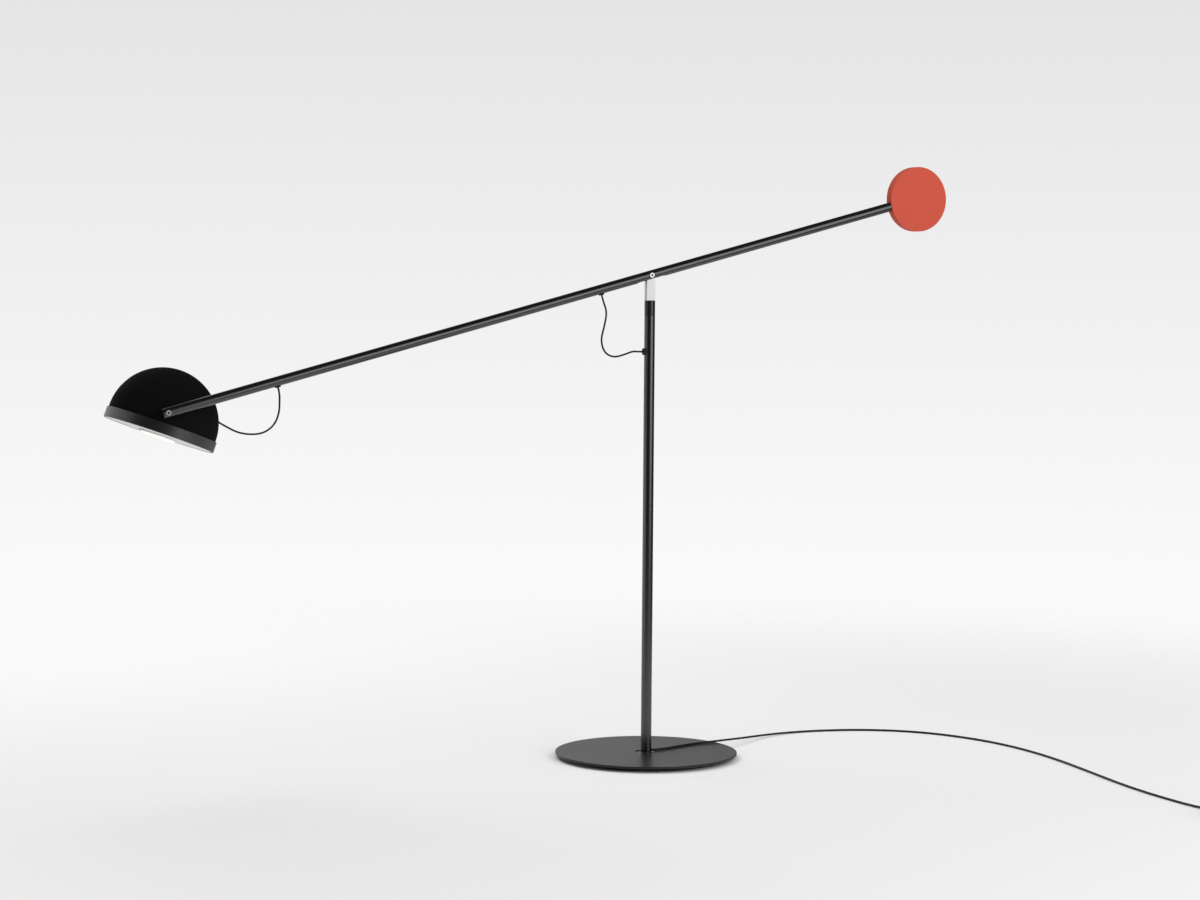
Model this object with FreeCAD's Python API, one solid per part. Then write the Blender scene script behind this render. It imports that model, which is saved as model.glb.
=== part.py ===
import FreeCAD, Part
import math
import os

from FreeCAD import Placement, Rotation, Vector

# Counterweight balance desk lamp, in millimetres.
# Origin: centre of the base's underside. +Z is up. The balance arm lies in the
# plane Y = 0, with its red counterweight towards +X and its shade towards -X.
# The shade hangs behind the arm, on the +Y side.

# ---------------------------------------------------------------- fits
RUN_GAP = 0.05          # radial clearance of everything that turns
SEAT_GAP = 0.02         # between pieces that are pressed or screwed together
SLIP_GAP = 0.1          # round loose inserts

# ---------------------------------------------------------------- base
PLATE_D = 240.0
PLATE_T = 3.0
PLATE_EDGE_R = 0.6
WEIGHT_INSET = 10.5     # of the weight's upper edge inside the plate's
WEIGHT_SLANT = 3.0      # of its lower edge inside its upper one
WEIGHT_T = 4.0
PAD_INSET = 2.5         # of the pad's edge inside the weight's lower one
PAD_T = 1.0
RECESS_REACH = 7.5      # stadium recess round the stem's foot: beyond the stem at its ends
RECESS_GAP = 1.0        # and at its sides
INSERT_T = 1.8          # bright plate on the recess's floor
BASE_TURN = -12.0       # direction of the recess, about Z
PLATE_SCREWS = 4
PLATE_SCREW_PCD = 160.0
PLATE_SCREW_TURN = 45.0 # from the recess's direction
PLATE_SCREW_D = 4.0
PLATE_SCREW_HEAD_D = 8.0
PLATE_SCREW_HEAD_H = 2.2
PLATE_SCREW_GRIP = 1.6  # how far a screw's end reaches into the plate
STEM_BOLT_D = 5.0
STEM_BOLT_HEAD_D = 10.0
STEM_BOLT_HEAD_H = 2.8
STEM_BOLT_L = 17.0

# ---------------------------------------------------------------- stem
STEM_D = 14.0
STEM_WALL = 1.0
PIVOT_Z = 636.0
FOOT_L = 18.0           # threaded plug in the stem's lower end
CABLE_D = 2.4           # inner cable and jumpers
CABLE_GROOVE_W = 3.2
CABLE_LANE_GAP = 0.5    # between the cable and the stem's bore
EXIT_RISE = 2.8         # height of the flex's exit over the insert
EXIT_BEND_R = 2.0
FLEX_D = 2.8
GROMMET_BODY_D = 4.0
GROMMET_OUT = 1.2       # how far a grommet stands out of its tube
GROMMET_IN = 0.6        # and how far it reaches in
GROMMET_FLANGE_D = 7.6
STEM_GROMMET_DROP = 100.0
STEM_GROMMET_FLANGE_D = 9.0
STEM_GROMMET_OUT = 2.0
STEM_CABLE_LEAVE = 26.0 # below the grommet, where the inner cable leaves its lane
STEM_CABLE_CROSS = 9.0  # below the grommet, where it nears the stem's axis
STEM_CABLE_CROSS_X = 1.5
STEM_CABLE_TURN_X = -2.6

# ---------------------------------------------------------------- swivel
SEAM_DROP = 53.5        # seam below the arm's pivot
SEAM_T = 0.6
SEAM_INSET = 0.3        # how far the washer's edge lies inside the stem's
SPIGOT_D = 8.0
SPIGOT_L = 30.0
BUSH_L = 26.0
CLIP_T = 0.8
CLIP_CLEAR = 0.5        # between the clip and the stem's bore
CLIP_GROOVE_D = 6.4
FLAT_T = 7.3            # thickness between the head's two milled flats
FLAT_DROP = 33.0        # the flats' lower end below the pivot
FLAT_TOP_DROP = 5.4     # their upper end
EYE_CLEAR = 0.8         # between the eye's edge and the arm's bore
EYE_T = 5.0

# ---------------------------------------------------------------- arm
ARM_D = 12.4
ARM_WALL = 1.0
ARM_TILT = 14.8         # the shade's end lies this much below level
HINGE_REACH = 671.0     # pivot to shade hinge
ARM_END_OVER = 6.0      # tube beyond the hinge
DISC_REACH = 419.0      # pivot to the disc's centre
SLOT_L = 44.0
SLOT_SIDE_GAP = 0.15
SCREW_D = 4.0           # pivot and hinge screws
SCREW_HEAD_D = 6.4
SCREW_HEAD_H = 1.4
SOCKET_AF = 2.5
SOCKET_DEEP = 1.0
SPOT_DEEP = 0.6         # flat spots in the tube under heads and washers
SPOT_MARGIN = 0.2
SPRING_WASHER_T = 0.6
SPRING_WASHER_D = 6.6
NUT_T = 2.0
NUT_D = 6.8
ARM_GROMMET_NEAR = 74.0
ARM_GROMMET_FAR = 528.0
ARM_CABLE_RISE = 2.0    # the cable's height over the tube's axis
PLUG_L = 22.0
STUD_PLUG_L = 22.0
STUD_D = 6.0
STUD_REACH = 21.0

# ---------------------------------------------------------------- disc
DISC_D = 88.0
DISC_T = 12.0
DISC_EDGE = 0.6
STUD_HOLE_OVER = 3.0
GRUB_D = 4.0
GRUB_INSET = 0.2
GRUB_REACH = 11.0       # from the rim to the grub screw

# ---------------------------------------------------------------- shade
DOME_D = 138.0
DOME_WALL = 1.5
DOME_SKIRT = 6.1        # straight part below the hemisphere
RING_PROUD = 1.9        # of the ring over the dome
RING_DROP = 2.1         # of its upper edge below the equator
RING_H = 13.5
RING_EDGE = 0.4
LEDGE_INSET = 2.5       # the ledge that carries the dome and the LED carrier
FLANGE_W = 6.8          # the ring's inner flange, from that ledge inwards
FLANGE_TOP = 8.1        # below the equator
FLANGE_T = 2.5
RING_LIP_W = 1.6        # the ring's wall at its lower rim
RING_TAPER = 1.0        # how much thicker it is at its flange
SHADE_TILT = 19.8       # the dome's axis leans towards the stem
HINGE_OUT = 20.8        # hinge to the dome's axis
HINGE_UP = 10.0         # hinge over the equator
RING_BEHIND = 6.8       # the ring's nearest point behind the arm's plane
HINGE_WASHER_T = 0.8
HINGE_WASHER_D = 10.0
BOSS_D = 12.0
BOSS_SPIGOT_D = 6.0
BOSS_SPIGOT_END = 18.0  # in Y
INNER_PAD_D = 14.0
INNER_PAD_END = 20.0    # in Y
HINGE_NUT_T = 3.2
HINGE_NUT_AF = 7.0
HINGE_SCREW_OVER = 0.8
CARRIER_T = 1.5
CARRIER_SCREWS = 3
CARRIER_SCREW_INSET = 3.8   # from the ledge to the screws' axes
CARRIER_SCREW_D = 3.0
CARRIER_SCREW_HEAD_D = 5.4
CARRIER_SCREW_HEAD_H = 1.6
CARRIER_SCREW_TURN = 60.0
SINK_INSET = 34.0       # of its edge inside the dome's
SINK_BASE_T = 4.0
SINK_HUB_D = 16.0
SINK_FINS = 12
SINK_FIN_T = 2.0
SINK_FIN_H = 14.0
PEDESTAL_D = 24.0       # on the carrier, under the LED board
PEDESTAL_H = 5.6
BOARD_T = 1.6
EMITTER_D = 10.0
EMITTER_T = 0.8
HOLDER_WALL = 3.0
HOLDER_LIP_W = 2.0
LENS_HELD = 1.2         # how much of the lens's edge sits in the holder
LENS_D = 44.0
LENS_EDGE_T = 2.2
LENS_CROWN = 0.8
REFLECTOR_T = 1.1
REFLECTOR_CLEAR = 0.6   # between its edge and the ring's wall
REFLECTOR_RECESS = 0.3  # its face inside the ring's rim
DRIVER_L = 46.0
DRIVER_W = 26.0
DRIVER_T = 1.6
DRIVER_PART_H = 7.0
DRIVER_PARTS = [(-14.0, 10.0, 12.0), (1.0, 8.0, 16.0), (13.0, 6.0, 8.0)]   # place, length, width
DRIVER_CABLE_TURN = 30.0
NIPPLE_ELEVATION = 24.0
NIPPLE_TURN = 35.0      # from the side that faces the stem towards the back
NIPPLE_OUT = 4.0
NIPPLE_IN = 2.0
NIPPLE_BEND_DEPTH = 15.3    # at which the cable behind it bends to the driver board

# ---------------------------------------------------------------- flex
# Routes are hand-chosen points on the cord's centre line. The points at their
# ends are worked out from the pieces that hold the cord: it leaves each of them
# straight, for the run that is given here.
FLEX_STEM_RUN = 8.0
FLEX_SWITCH_RUN = 12.0
JUMPER_ARM_RUN = 8.0
JUMPER_STEM_RUN = 7.0
JUMPER_SHADE_RUN = 8.0
TABLE_Z = 1.5           # the flex's centre line on the table
FLEX_ROUTE = [
    (31.0, 1.0, 9.5), (53.0, 9.5, 9.5), (86.0, 20.5, 9.5),
    (108.0, 22.5, 9.7), (128.0, 25.0, 10.1), (152.0, 36.0, 8.6), (182.0, 55.0, 5.9),
    (216.0, 74.0, 3.6), (250.0, 87.0, 2.1), (288.0, 91.5, TABLE_Z),
    (328.0, 86.0, TABLE_Z), (369.0, 73.7, TABLE_Z), (408.0, 51.0, TABLE_Z),
    (440.0, 20.0, TABLE_Z), (466.0, -24.0, TABLE_Z), (484.0, -76.0, TABLE_Z),
    (492.5, -130.0, TABLE_Z), (493.5, -187.0, TABLE_Z), (489.0, -245.0, TABLE_Z),
    (481.0, -302.0, TABLE_Z), (472.0, -359.0, TABLE_Z), (463.5, -416.0, TABLE_Z),
    (458.5, -473.0, TABLE_Z), (457.4, -527.0, TABLE_Z), (458.4, -556.0, TABLE_Z),
    (459.6, -578.0, 2.0),
]
JUMPER_STEM_ARM_ROUTE = [
    (-61.8, 0.0, 588.0), (-65.2, 0.0, 570.0), (-70.6, 0.0, 551.5), (-65.5, 0.0, 535.0),
    (-52.0, 0.0, 528.5), (-36.5, 0.0, 532.2), (-24.5, 0.0, 536.6),
]
JUMPER_ARM_SHADE_ROUTE = [
    (-505.8, 2.6, 475.6), (-504.0, 8.8, 463.5), (-504.9, 23.0, 447.1), (-511.6, 43.7, 435.6),
    (-520.7, 66.6, 432.1), (-531.6, 88.7, 433.4), (-540.5, 106.9, 439.6),
    (-549.4, 119.2, 446.1), (-556.4, 122.7, 454.1),
]

# in-line switch, just beyond the visible stretch of the flex
SWITCH_X = 460.0
SWITCH_NEAR_Y = -608.0  # end of its first strain relief
SWITCH_CORD_Z = 3.0
RELIEF_L = 8.0
RELIEF_D = 5.2
RELIEF_TIP_D = 3.6
SWITCH_L = 52.0
SWITCH_W = 18.0
SWITCH_H = 13.0
SWITCH_SPLIT_Z = 6.0
SWITCH_WALL = 1.8
SWITCH_EDGE_R = 2.5
ROCKER_W = 8.0
ROCKER_L = 14.0
ROCKER_GAP = 0.45
ROCKER_AXIS_DROP = 4.0  # below the switch's top
ROCKER_TOP = 4.4        # its ends over its axis
ROCKER_DISH = 0.9
ROCKER_BELOW = 1.8
ROCKER_SWING = 12.0
ROCKER_PIN_D = 2.4
ROCKER_PIN_REACH = 1.6
CHEEK_T = 1.6
CHEEK_L = 6.0
BLOCK_L = 20.0
BLOCK_W = 10.0
BLOCK_H = 3.4

# put-away coil
COIL_MIN_R = 11.0
COIL_PITCH = 3.3
COIL_TURNS = 3.125      # inwards, and as many outwards again
COIL_LIFT = 0.7
COIL_LEAD = 16.0
COIL_OUT = 18.0
TIE_W = 5.0
TIE_T = 0.5
TIE_GAP = 0.15
TIE_ANGLE = 40.0
COIL_SAMPLE = 0.8       # step of the points that measure the coil's gap to itself
COIL_NEIGHBOURS = 4     # diameters along the flex that don't count as a gap

# plug-in power adapter
ADAPTER_L = 62.0
ADAPTER_W = 36.0
ADAPTER_H = 27.0
ADAPTER_SPLIT_Z = 14.0
ADAPTER_WALL = 2.0
ADAPTER_EDGE_R = 4.0
ADAPTER_RELIEF_L = 12.0
ADAPTER_RELIEF_D = 6.0
PIN_D = 4.0
PIN_L = 19.0
PIN_ROOT = 5.0
PIN_SPACING = 19.0
ADAPTER_BOARD_L = 44.0
ADAPTER_BOARD_W = 26.0
ADAPTER_BOARD_T = 1.6
TRANSFORMER = 15.0
TRANSFORMER_INSET = 7.5 # from the board's end

# ---------------------------------------------------------------- derived
X_AXIS = Vector(1, 0, 0)
Y_AXIS = Vector(0, 1, 0)
Z_AXIS = Vector(0, 0, 1)
ORIGIN = Vector(0, 0, 0)

WEIGHT_TOP_D = PLATE_D - 2 * WEIGHT_INSET
WEIGHT_BOTTOM_D = WEIGHT_TOP_D - 2 * WEIGHT_SLANT
PAD_D = WEIGHT_BOTTOM_D - 2 * PAD_INSET
RECESS_L = STEM_D + 2 * RECESS_REACH
RECESS_W = STEM_D + 2 * RECESS_GAP
WEIGHT_Z = PAD_T
PLATE_Z = WEIGHT_Z + WEIGHT_T
BASE_TOP = PLATE_Z + PLATE_T
INSERT_TOP = PLATE_Z + INSERT_T
STEM_BORE = STEM_D - 2 * STEM_WALL
CABLE_OFFSET = STEM_BORE / 2 - CABLE_D / 2 - CABLE_LANE_GAP
SEAM_D = STEM_D - 2 * SEAM_INSET
CLIP_D = STEM_BORE - 2 * CLIP_CLEAR
SEAM_Z = PIVOT_Z - SEAM_DROP
ARM_BORE = ARM_D - 2 * ARM_WALL
EYE_D = ARM_BORE - 2 * EYE_CLEAR
SPOT_Y = ARM_D / 2 - SPOT_DEEP
CLEAR_HOLE_R = SCREW_D / 2 + RUN_GAP
SLOT_W = FLAT_T + 2 * SLOT_SIDE_GAP
DISC_RIM_X = DISC_REACH - DISC_D / 2
SHADE_HALF = DOME_D / 2
SHADE_INNER = SHADE_HALF - DOME_WALL
RING_R = SHADE_HALF + RING_PROUD
RING_INNER = RING_R - RING_LIP_W - RING_TAPER
RING_BOTTOM = -RING_DROP - RING_H
LEDGE_D = DOME_D - 2 * LEDGE_INSET
FLANGE_D = LEDGE_D - 2 * FLANGE_W
CARRIER_SCREW_PCD = LEDGE_D - 2 * CARRIER_SCREW_INSET
DOME_BEHIND = RING_R + RING_BEHIND
SINK_D = DOME_D - 2 * SINK_INSET
HOLDER_D = LENS_D + 2 * HOLDER_WALL
BOARD_D = LENS_D - 2 * HOLDER_LIP_W
ROCKER_AXIS_Z = SWITCH_H - ROCKER_AXIS_DROP
NIPPLE_TIP = SHADE_HALF + NIPPLE_OUT
BOSS_FACE_Y = SPOT_Y + HINGE_WASHER_T
CARRIER_TOP = -FLANGE_TOP + CARRIER_T
SINK_TOP = CARRIER_TOP + SINK_BASE_T + SINK_FIN_H
EXIT_Z = INSERT_TOP + EXIT_RISE
OVER = 1.0              # how far a cutting tool reaches past a face
TINY = 1e-4             # step that a direction is measured over
ARC_SHARE = 0.45        # of the shorter run beside a bend, that its arc takes

BASE_DIR = Rotation(Z_AXIS, BASE_TURN).multVec(X_AXIS)
ARM_PLACE = Placement(Vector(0, 0, PIVOT_Z), Rotation(Y_AXIS, -ARM_TILT))
HINGE_POINT = ARM_PLACE.multVec(Vector(-HINGE_REACH, 0, 0))
SHADE_TURN = Rotation(Y_AXIS, SHADE_TILT)
SHADE_CENTRE = HINGE_POINT + SHADE_TURN.multVec(Vector(HINGE_OUT, DOME_BEHIND, -HINGE_UP))
SHADE_PLACE = Placement(SHADE_CENTRE, SHADE_TURN)


# ---------------------------------------------------------------- helpers
def save(name, *solids):
    """Write one sub-part, made of one solid or of several separate ones."""
    shape = solids[0] if len(solids) == 1 else Part.makeCompound(list(solids))
    shape.exportStep(os.path.join("parts", name + ".step"))


def cylinder(diameter, start, end, centre=ORIGIN, axis=Z_AXIS):
    """Round bar from start to end along an axis through centre."""
    return Part.makeCylinder(diameter / 2, end - start, centre + axis * start, axis)


def cone(start_d, end_d, start, end, centre=ORIGIN, axis=Z_AXIS):
    return Part.makeCone(start_d / 2, end_d / 2, end - start, centre + axis * start, axis)


def block(x, y, z):
    """Box between pairs of coordinates."""
    return Part.makeBox(x[1] - x[0], y[1] - y[0], z[1] - z[0], Vector(x[0], y[0], z[0]))


def stadium(length, width, low, high, axis_turn=0.0):
    """Flat bar along X with round ends, turned about Z."""
    straight = (length - width) / 2
    bar = block((-straight, straight), (-width / 2, width / 2), (low, high))
    for side in (-1, 1):
        bar = bar.fuse(cylinder(width, low, high, Vector(side * straight, 0, 0)))
    bar = bar.removeSplitter()
    bar.rotate(ORIGIN, Z_AXIS, axis_turn)
    return bar


def prism(across_flats, start, end, centre, axis):
    """Hexagonal bar from start to end along an axis."""
    corner = across_flats / math.sqrt(3)
    turn = Rotation(Z_AXIS, axis)
    points = [turn.multVec(Vector(corner * math.cos(math.radians(60 * k)),
                                  corner * math.sin(math.radians(60 * k)), 0))
              for k in range(6)]
    points.append(points[0])
    face = Part.Face(Part.makePolygon([centre + axis * start + p for p in points]))
    return face.extrude(axis * (end - start))


def turned(profile):
    """Solid of revolution about Z from (radius, height) points."""
    points = [Vector(r, 0, z) for r, z in profile]
    points.append(points[0])
    return Part.Face(Part.makePolygon(points)).revolve(ORIGIN, Z_AXIS, 360)


def placed(shape, placement):
    moved = shape.copy()
    moved.Placement = placement.multiply(moved.Placement)
    return moved


def circle_edges(shape, diameter, height, axis=Z_AXIS):
    """Full circle edges of one diameter at one height along an axis."""
    return [edge for edge in shape.Edges
            if isinstance(edge.Curve, Part.Circle)
            and abs(edge.Curve.Radius - diameter / 2) < 1e-6
            and abs(edge.Curve.Center.dot(axis) - height) < 1e-6]


# ---------------------------------------------------------------- cord helpers
def arc_from(start, tangent, end):
    """Edge that leaves start along a tangent and reaches end."""
    chord = end - start
    along = Vector(chord).normalize()
    across = tangent - along * tangent.dot(along)
    if across.Length < 1e-7:
        return Part.LineSegment(start, end).toShape()
    angle = tangent.getAngle(chord)
    middle = start + chord * 0.5 + across.normalize() * (chord.Length / 2 * math.tan(angle / 2))
    return Part.Arc(start, middle, end).toShape()


def biarc(start, start_dir, end, end_dir):
    """Two tangent arcs between two points with given directions."""
    span = end - start
    both = start_dir + end_dir
    bend = 2 * (1 - start_dir.dot(end_dir))
    if bend < 1e-9:
        reach = span.dot(span) / (4 * span.dot(end_dir))
    else:
        reach = (-span.dot(both) + math.sqrt(span.dot(both) ** 2 + bend * span.dot(span))) / bend
    first = start + start_dir * reach
    last = end - end_dir * reach
    joint = (first + last) * 0.5
    joint_dir = Vector(last - first).normalize()
    return [arc_from(start, start_dir, joint), arc_from(joint, joint_dir, end)]


def route_edges(points, name):
    """Straight runs joined by tangent arcs, each as large as its runs allow."""
    edges = []
    radii = []
    here = points[0]
    for before, corner, after in zip(points, points[1:], points[2:]):
        run_in = corner - before
        run_out = after - corner
        half_turn = run_in.getAngle(run_out) / 2
        setback = ARC_SHARE * min(run_in.Length, run_out.Length)
        radii.append(setback / math.tan(half_turn))
        dir_in = Vector(run_in).normalize()
        arc_start = corner - dir_in * setback
        arc_end = corner + Vector(run_out).normalize() * setback
        edges.append(Part.LineSegment(here, arc_start).toShape())
        edges.append(arc_from(arc_start, dir_in, arc_end))
        here = arc_end
    edges.append(Part.LineSegment(here, points[-1]).toShape())
    print(name, "least radius", round(min(radii), 1),
          "radii", [round(radius) for radius in radii])
    return edges


def swept(edges, diameter, name):
    """Round tube along tangent edges; prints its volume against section times length."""
    path = Part.Wire(edges)
    first = edges[0]
    start = first.valueAt(first.FirstParameter)
    tangent = first.tangentAt(first.FirstParameter)
    ring = Part.Wire([Part.makeCircle(diameter / 2, start, tangent)])
    shell = Part.BRepOffsetAPI.MakePipeShell(path)
    shell.add(ring)
    shell.build()
    shell.makeSolid()
    tube = shell.shape()
    ideal = path.Length * math.pi * diameter ** 2 / 4
    print(name, "length", round(path.Length, 1), "volume ratio", round(tube.Volume / ideal, 5))
    return tube


def cord(points, diameter, name):
    return swept(route_edges(points, name), diameter, name)


def held_cord(start, route, end, diameter, name):
    """Cord between two holders, each given as point, direction and straight run."""
    start_point, start_dir, start_run = start
    end_point, end_dir, end_run = end
    points = [start_point, start_point + start_dir * start_run]
    points += [Vector(*point) for point in route]
    points += [end_point + end_dir * end_run, end_point]
    return cord(points, diameter, name)


# ---------------------------------------------------------------- base
def ring_places(count, pcd, start_angle=0.0):
    return [Rotation(Z_AXIS, start_angle + 360.0 * k / count).multVec(Vector(pcd / 2, 0, 0))
            for k in range(count)]


def countersunk(diameter, head_d, head_h, length, centre):
    """Flat-headed screw that points up, its head at the weight's underside."""
    screw = cone(head_d, diameter, 0, head_h, centre)
    screw = screw.fuse(cylinder(diameter, head_h, length, centre))
    return screw


def base():
    screw_l = WEIGHT_T + PLATE_SCREW_GRIP
    screw_feet = [point + Vector(0, 0, WEIGHT_Z)
                  for point in ring_places(PLATE_SCREWS, PLATE_SCREW_PCD, PLATE_SCREW_TURN + BASE_TURN)]
    bolt_foot = Vector(0, 0, WEIGHT_Z)

    plate = cylinder(PLATE_D, PLATE_Z, BASE_TOP)
    plate = plate.makeFillet(PLATE_EDGE_R, circle_edges(plate, PLATE_D, BASE_TOP))
    plate = plate.cut(stadium(RECESS_L, RECESS_W, PLATE_Z - OVER, BASE_TOP + OVER, BASE_TURN))
    weight = cone(WEIGHT_BOTTOM_D, WEIGHT_TOP_D, WEIGHT_Z, PLATE_Z)
    insert = stadium(RECESS_L - 2 * SLIP_GAP, RECESS_W - 2 * SLIP_GAP,
                     PLATE_Z, INSERT_TOP, BASE_TURN)
    for foot in screw_feet:
        tool = countersunk(PLATE_SCREW_D + 2 * SEAT_GAP, PLATE_SCREW_HEAD_D + 2 * SEAT_GAP,
                           PLATE_SCREW_HEAD_H, screw_l + SEAT_GAP, foot)
        weight = weight.cut(tool)
        plate = plate.cut(tool)
    bolt_tool = countersunk(STEM_BOLT_D + 2 * SEAT_GAP, STEM_BOLT_HEAD_D + 2 * SEAT_GAP,
                            STEM_BOLT_HEAD_H, STEM_BOLT_L + SEAT_GAP, bolt_foot)
    weight = weight.cut(bolt_tool)
    insert = insert.cut(bolt_tool)

    save("base_plate", plate)
    save("base_weight", weight)
    save("base_pad", cylinder(PAD_D, 0, PAD_T))
    save("foot_insert", insert)
    save("plate_screws", *[countersunk(PLATE_SCREW_D, PLATE_SCREW_HEAD_D, PLATE_SCREW_HEAD_H,
                                       screw_l, foot) for foot in screw_feet])
    save("stem_bolt", countersunk(STEM_BOLT_D, STEM_BOLT_HEAD_D, STEM_BOLT_HEAD_H,
                                  STEM_BOLT_L, bolt_foot))
    return bolt_tool


# ---------------------------------------------------------------- stem
def foot_grommet_bar(extra):
    """Bar on the flex's line of exit, as wide as the grommet and its clearance."""
    return cylinder(GROMMET_BODY_D + 2 * extra, STEM_BORE / 2 + SLIP_GAP,
                    STEM_D / 2 + GROMMET_OUT + extra, Vector(0, 0, EXIT_Z), BASE_DIR)


def stem(bolt_tool):
    grommet_z = PIVOT_Z - STEM_GROMMET_DROP
    wall_side = Vector(0, 0, grommet_z)
    exit_end = STEM_D / 2 + GROMMET_OUT
    grommet_end = STEM_D / 2 + STEM_GROMMET_OUT
    out = -X_AXIS

    tube = cylinder(STEM_D, INSERT_TOP, SEAM_Z).cut(cylinder(STEM_BORE, 0, SEAM_Z + OVER))
    tube = tube.cut(cylinder(GROMMET_BODY_D + 2 * SEAT_GAP, 0, STEM_D, Vector(0, 0, EXIT_Z), BASE_DIR))
    tube = tube.cut(cylinder(GROMMET_BODY_D + 2 * SEAT_GAP, 0, STEM_D, wall_side, out))

    foot = cylinder(STEM_BORE - 2 * SEAT_GAP, INSERT_TOP, INSERT_TOP + FOOT_L).cut(bolt_tool)
    groove_start = CABLE_OFFSET - CABLE_GROOVE_W / 2
    groove = block((groove_start, STEM_D), (-CABLE_GROOVE_W / 2, CABLE_GROOVE_W / 2),
                   (0, INSERT_TOP + FOOT_L + OVER))
    groove.rotate(ORIGIN, Z_AXIS, BASE_TURN)
    foot = foot.cut(groove)

    exit_grommet = foot_grommet_bar(0).cut(
        cylinder(CABLE_D + 2 * SEAT_GAP, 0, STEM_D, Vector(0, 0, EXIT_Z), BASE_DIR))
    flange = cylinder(STEM_GROMMET_FLANGE_D, STEM_D / 2 - OVER, grommet_end, wall_side, out)
    flange = flange.cut(cylinder(STEM_D + 2 * SEAT_GAP, 0, PIVOT_Z))
    side_grommet = cylinder(GROMMET_BODY_D, STEM_BORE / 2 - GROMMET_IN, grommet_end, wall_side, out)
    side_grommet = side_grommet.fuse(flange).cut(
        cylinder(CABLE_D + 2 * SEAT_GAP, 0, STEM_D, wall_side, out))

    lane = BASE_DIR * CABLE_OFFSET
    bend_start = BASE_DIR * (CABLE_OFFSET + EXIT_BEND_R) + Vector(0, 0, EXIT_Z)
    bend_end = lane + Vector(0, 0, EXIT_Z + EXIT_BEND_R)
    lower = [Part.LineSegment(BASE_DIR * exit_end + Vector(0, 0, EXIT_Z), bend_start).toShape(),
             arc_from(bend_start, -BASE_DIR, bend_end)]
    upper = route_edges([bend_end, lane + Vector(0, 0, grommet_z - STEM_CABLE_LEAVE),
                         BASE_DIR * STEM_CABLE_CROSS_X + Vector(0, 0, grommet_z - STEM_CABLE_CROSS),
                         Vector(STEM_CABLE_TURN_X, 0, grommet_z),
                         Vector(-grommet_end, 0, grommet_z)], "stem_cable")
    save("stem_tube", tube)
    save("stem_foot", foot)
    save("foot_grommet", exit_grommet)
    save("stem_grommet", side_grommet)
    save("stem_cable", swept(lower + upper, CABLE_D, "stem_cable"))


# ---------------------------------------------------------------- swivel
def swivel():
    shoulder = SEAM_Z + SEAM_T
    clip_top = SEAM_Z - BUSH_L - SLIP_GAP
    groove_top = clip_top + RUN_GAP
    groove_bottom = clip_top - CLIP_T - RUN_GAP
    hole = SPIGOT_D + 2 * RUN_GAP

    bush = cylinder(STEM_BORE - 2 * SEAT_GAP, SEAM_Z - BUSH_L, SEAM_Z).cut(
        cylinder(hole, SEAM_Z - BUSH_L - OVER, SEAM_Z + OVER))
    washer = cylinder(SEAM_D, SEAM_Z, shoulder).cut(cylinder(hole, SEAM_Z - OVER, shoulder + OVER))
    clip = cylinder(CLIP_D, clip_top - CLIP_T, clip_top).cut(
        cylinder(CLIP_GROOVE_D + 2 * SEAT_GAP, clip_top - CLIP_T - OVER, clip_top + OVER))

    post = cylinder(STEM_D, shoulder, PIVOT_Z - FLAT_DROP)
    flats = cylinder(STEM_D, PIVOT_Z - FLAT_DROP, PIVOT_Z - FLAT_TOP_DROP).common(
        block((-STEM_D, STEM_D), (-FLAT_T / 2, FLAT_T / 2), (0, PIVOT_Z)))
    neck = block((-EYE_D / 2, EYE_D / 2), (-EYE_T / 2, EYE_T / 2),
                 (PIVOT_Z - FLAT_TOP_DROP - OVER, PIVOT_Z))
    eye = cylinder(EYE_D, -EYE_T / 2, EYE_T / 2, Vector(0, 0, PIVOT_Z), Y_AXIS)
    spigot = cylinder(SPIGOT_D, shoulder - SPIGOT_L, shoulder)
    groove = cylinder(STEM_D, groove_bottom, groove_top).cut(
        cylinder(CLIP_GROOVE_D, groove_bottom - OVER, groove_top + OVER))
    head = post.fuse([flats, neck, eye, spigot]).cut(groove)
    head = head.cut(cylinder(2 * CLEAR_HOLE_R, -STEM_D, STEM_D, Vector(0, 0, PIVOT_Z), Y_AXIS))
    save("swivel_bush", bush)
    save("seam_washer", washer)
    save("retaining_clip", clip)
    save("swivel_head", head.removeSplitter())


# ---------------------------------------------------------------- screws through the arm
def socket_screw(x, end_y):
    """Screw along Y through the arm, its socket head on the front flat spot."""
    centre = Vector(x, 0, 0)
    screw = cylinder(SCREW_HEAD_D, -SPOT_Y - SCREW_HEAD_H, -SPOT_Y, centre, Y_AXIS)
    screw = screw.fuse(cylinder(SCREW_D, -SPOT_Y, end_y, centre, Y_AXIS))
    socket = prism(SOCKET_AF, -SPOT_Y - SCREW_HEAD_H - OVER,
                   -SPOT_Y - SCREW_HEAD_H + SOCKET_DEEP, centre, Y_AXIS)
    return screw.cut(socket)


def washer_ring(diameter, hole, start, end, centre):
    return cylinder(diameter, start, end, centre, Y_AXIS).cut(
        cylinder(hole, start - OVER, end + OVER, centre, Y_AXIS))


# ---------------------------------------------------------------- arm
def arm_grommet(x):
    """Black grommet in the arm's underside."""
    centre = Vector(x, 0, 0)
    down = -Z_AXIS
    end = ARM_D / 2 + GROMMET_OUT
    flange = cylinder(GROMMET_FLANGE_D, ARM_D / 2 - OVER, end, centre, down)
    flange = flange.cut(cylinder(ARM_D + 2 * SEAT_GAP, x - ARM_D, x + ARM_D, ORIGIN, X_AXIS))
    body = cylinder(GROMMET_BODY_D, ARM_BORE / 2 - GROMMET_IN, end, centre, down)
    return body.fuse(flange).cut(cylinder(CABLE_D + 2 * SEAT_GAP, 0, ARM_D, centre, down))


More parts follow.
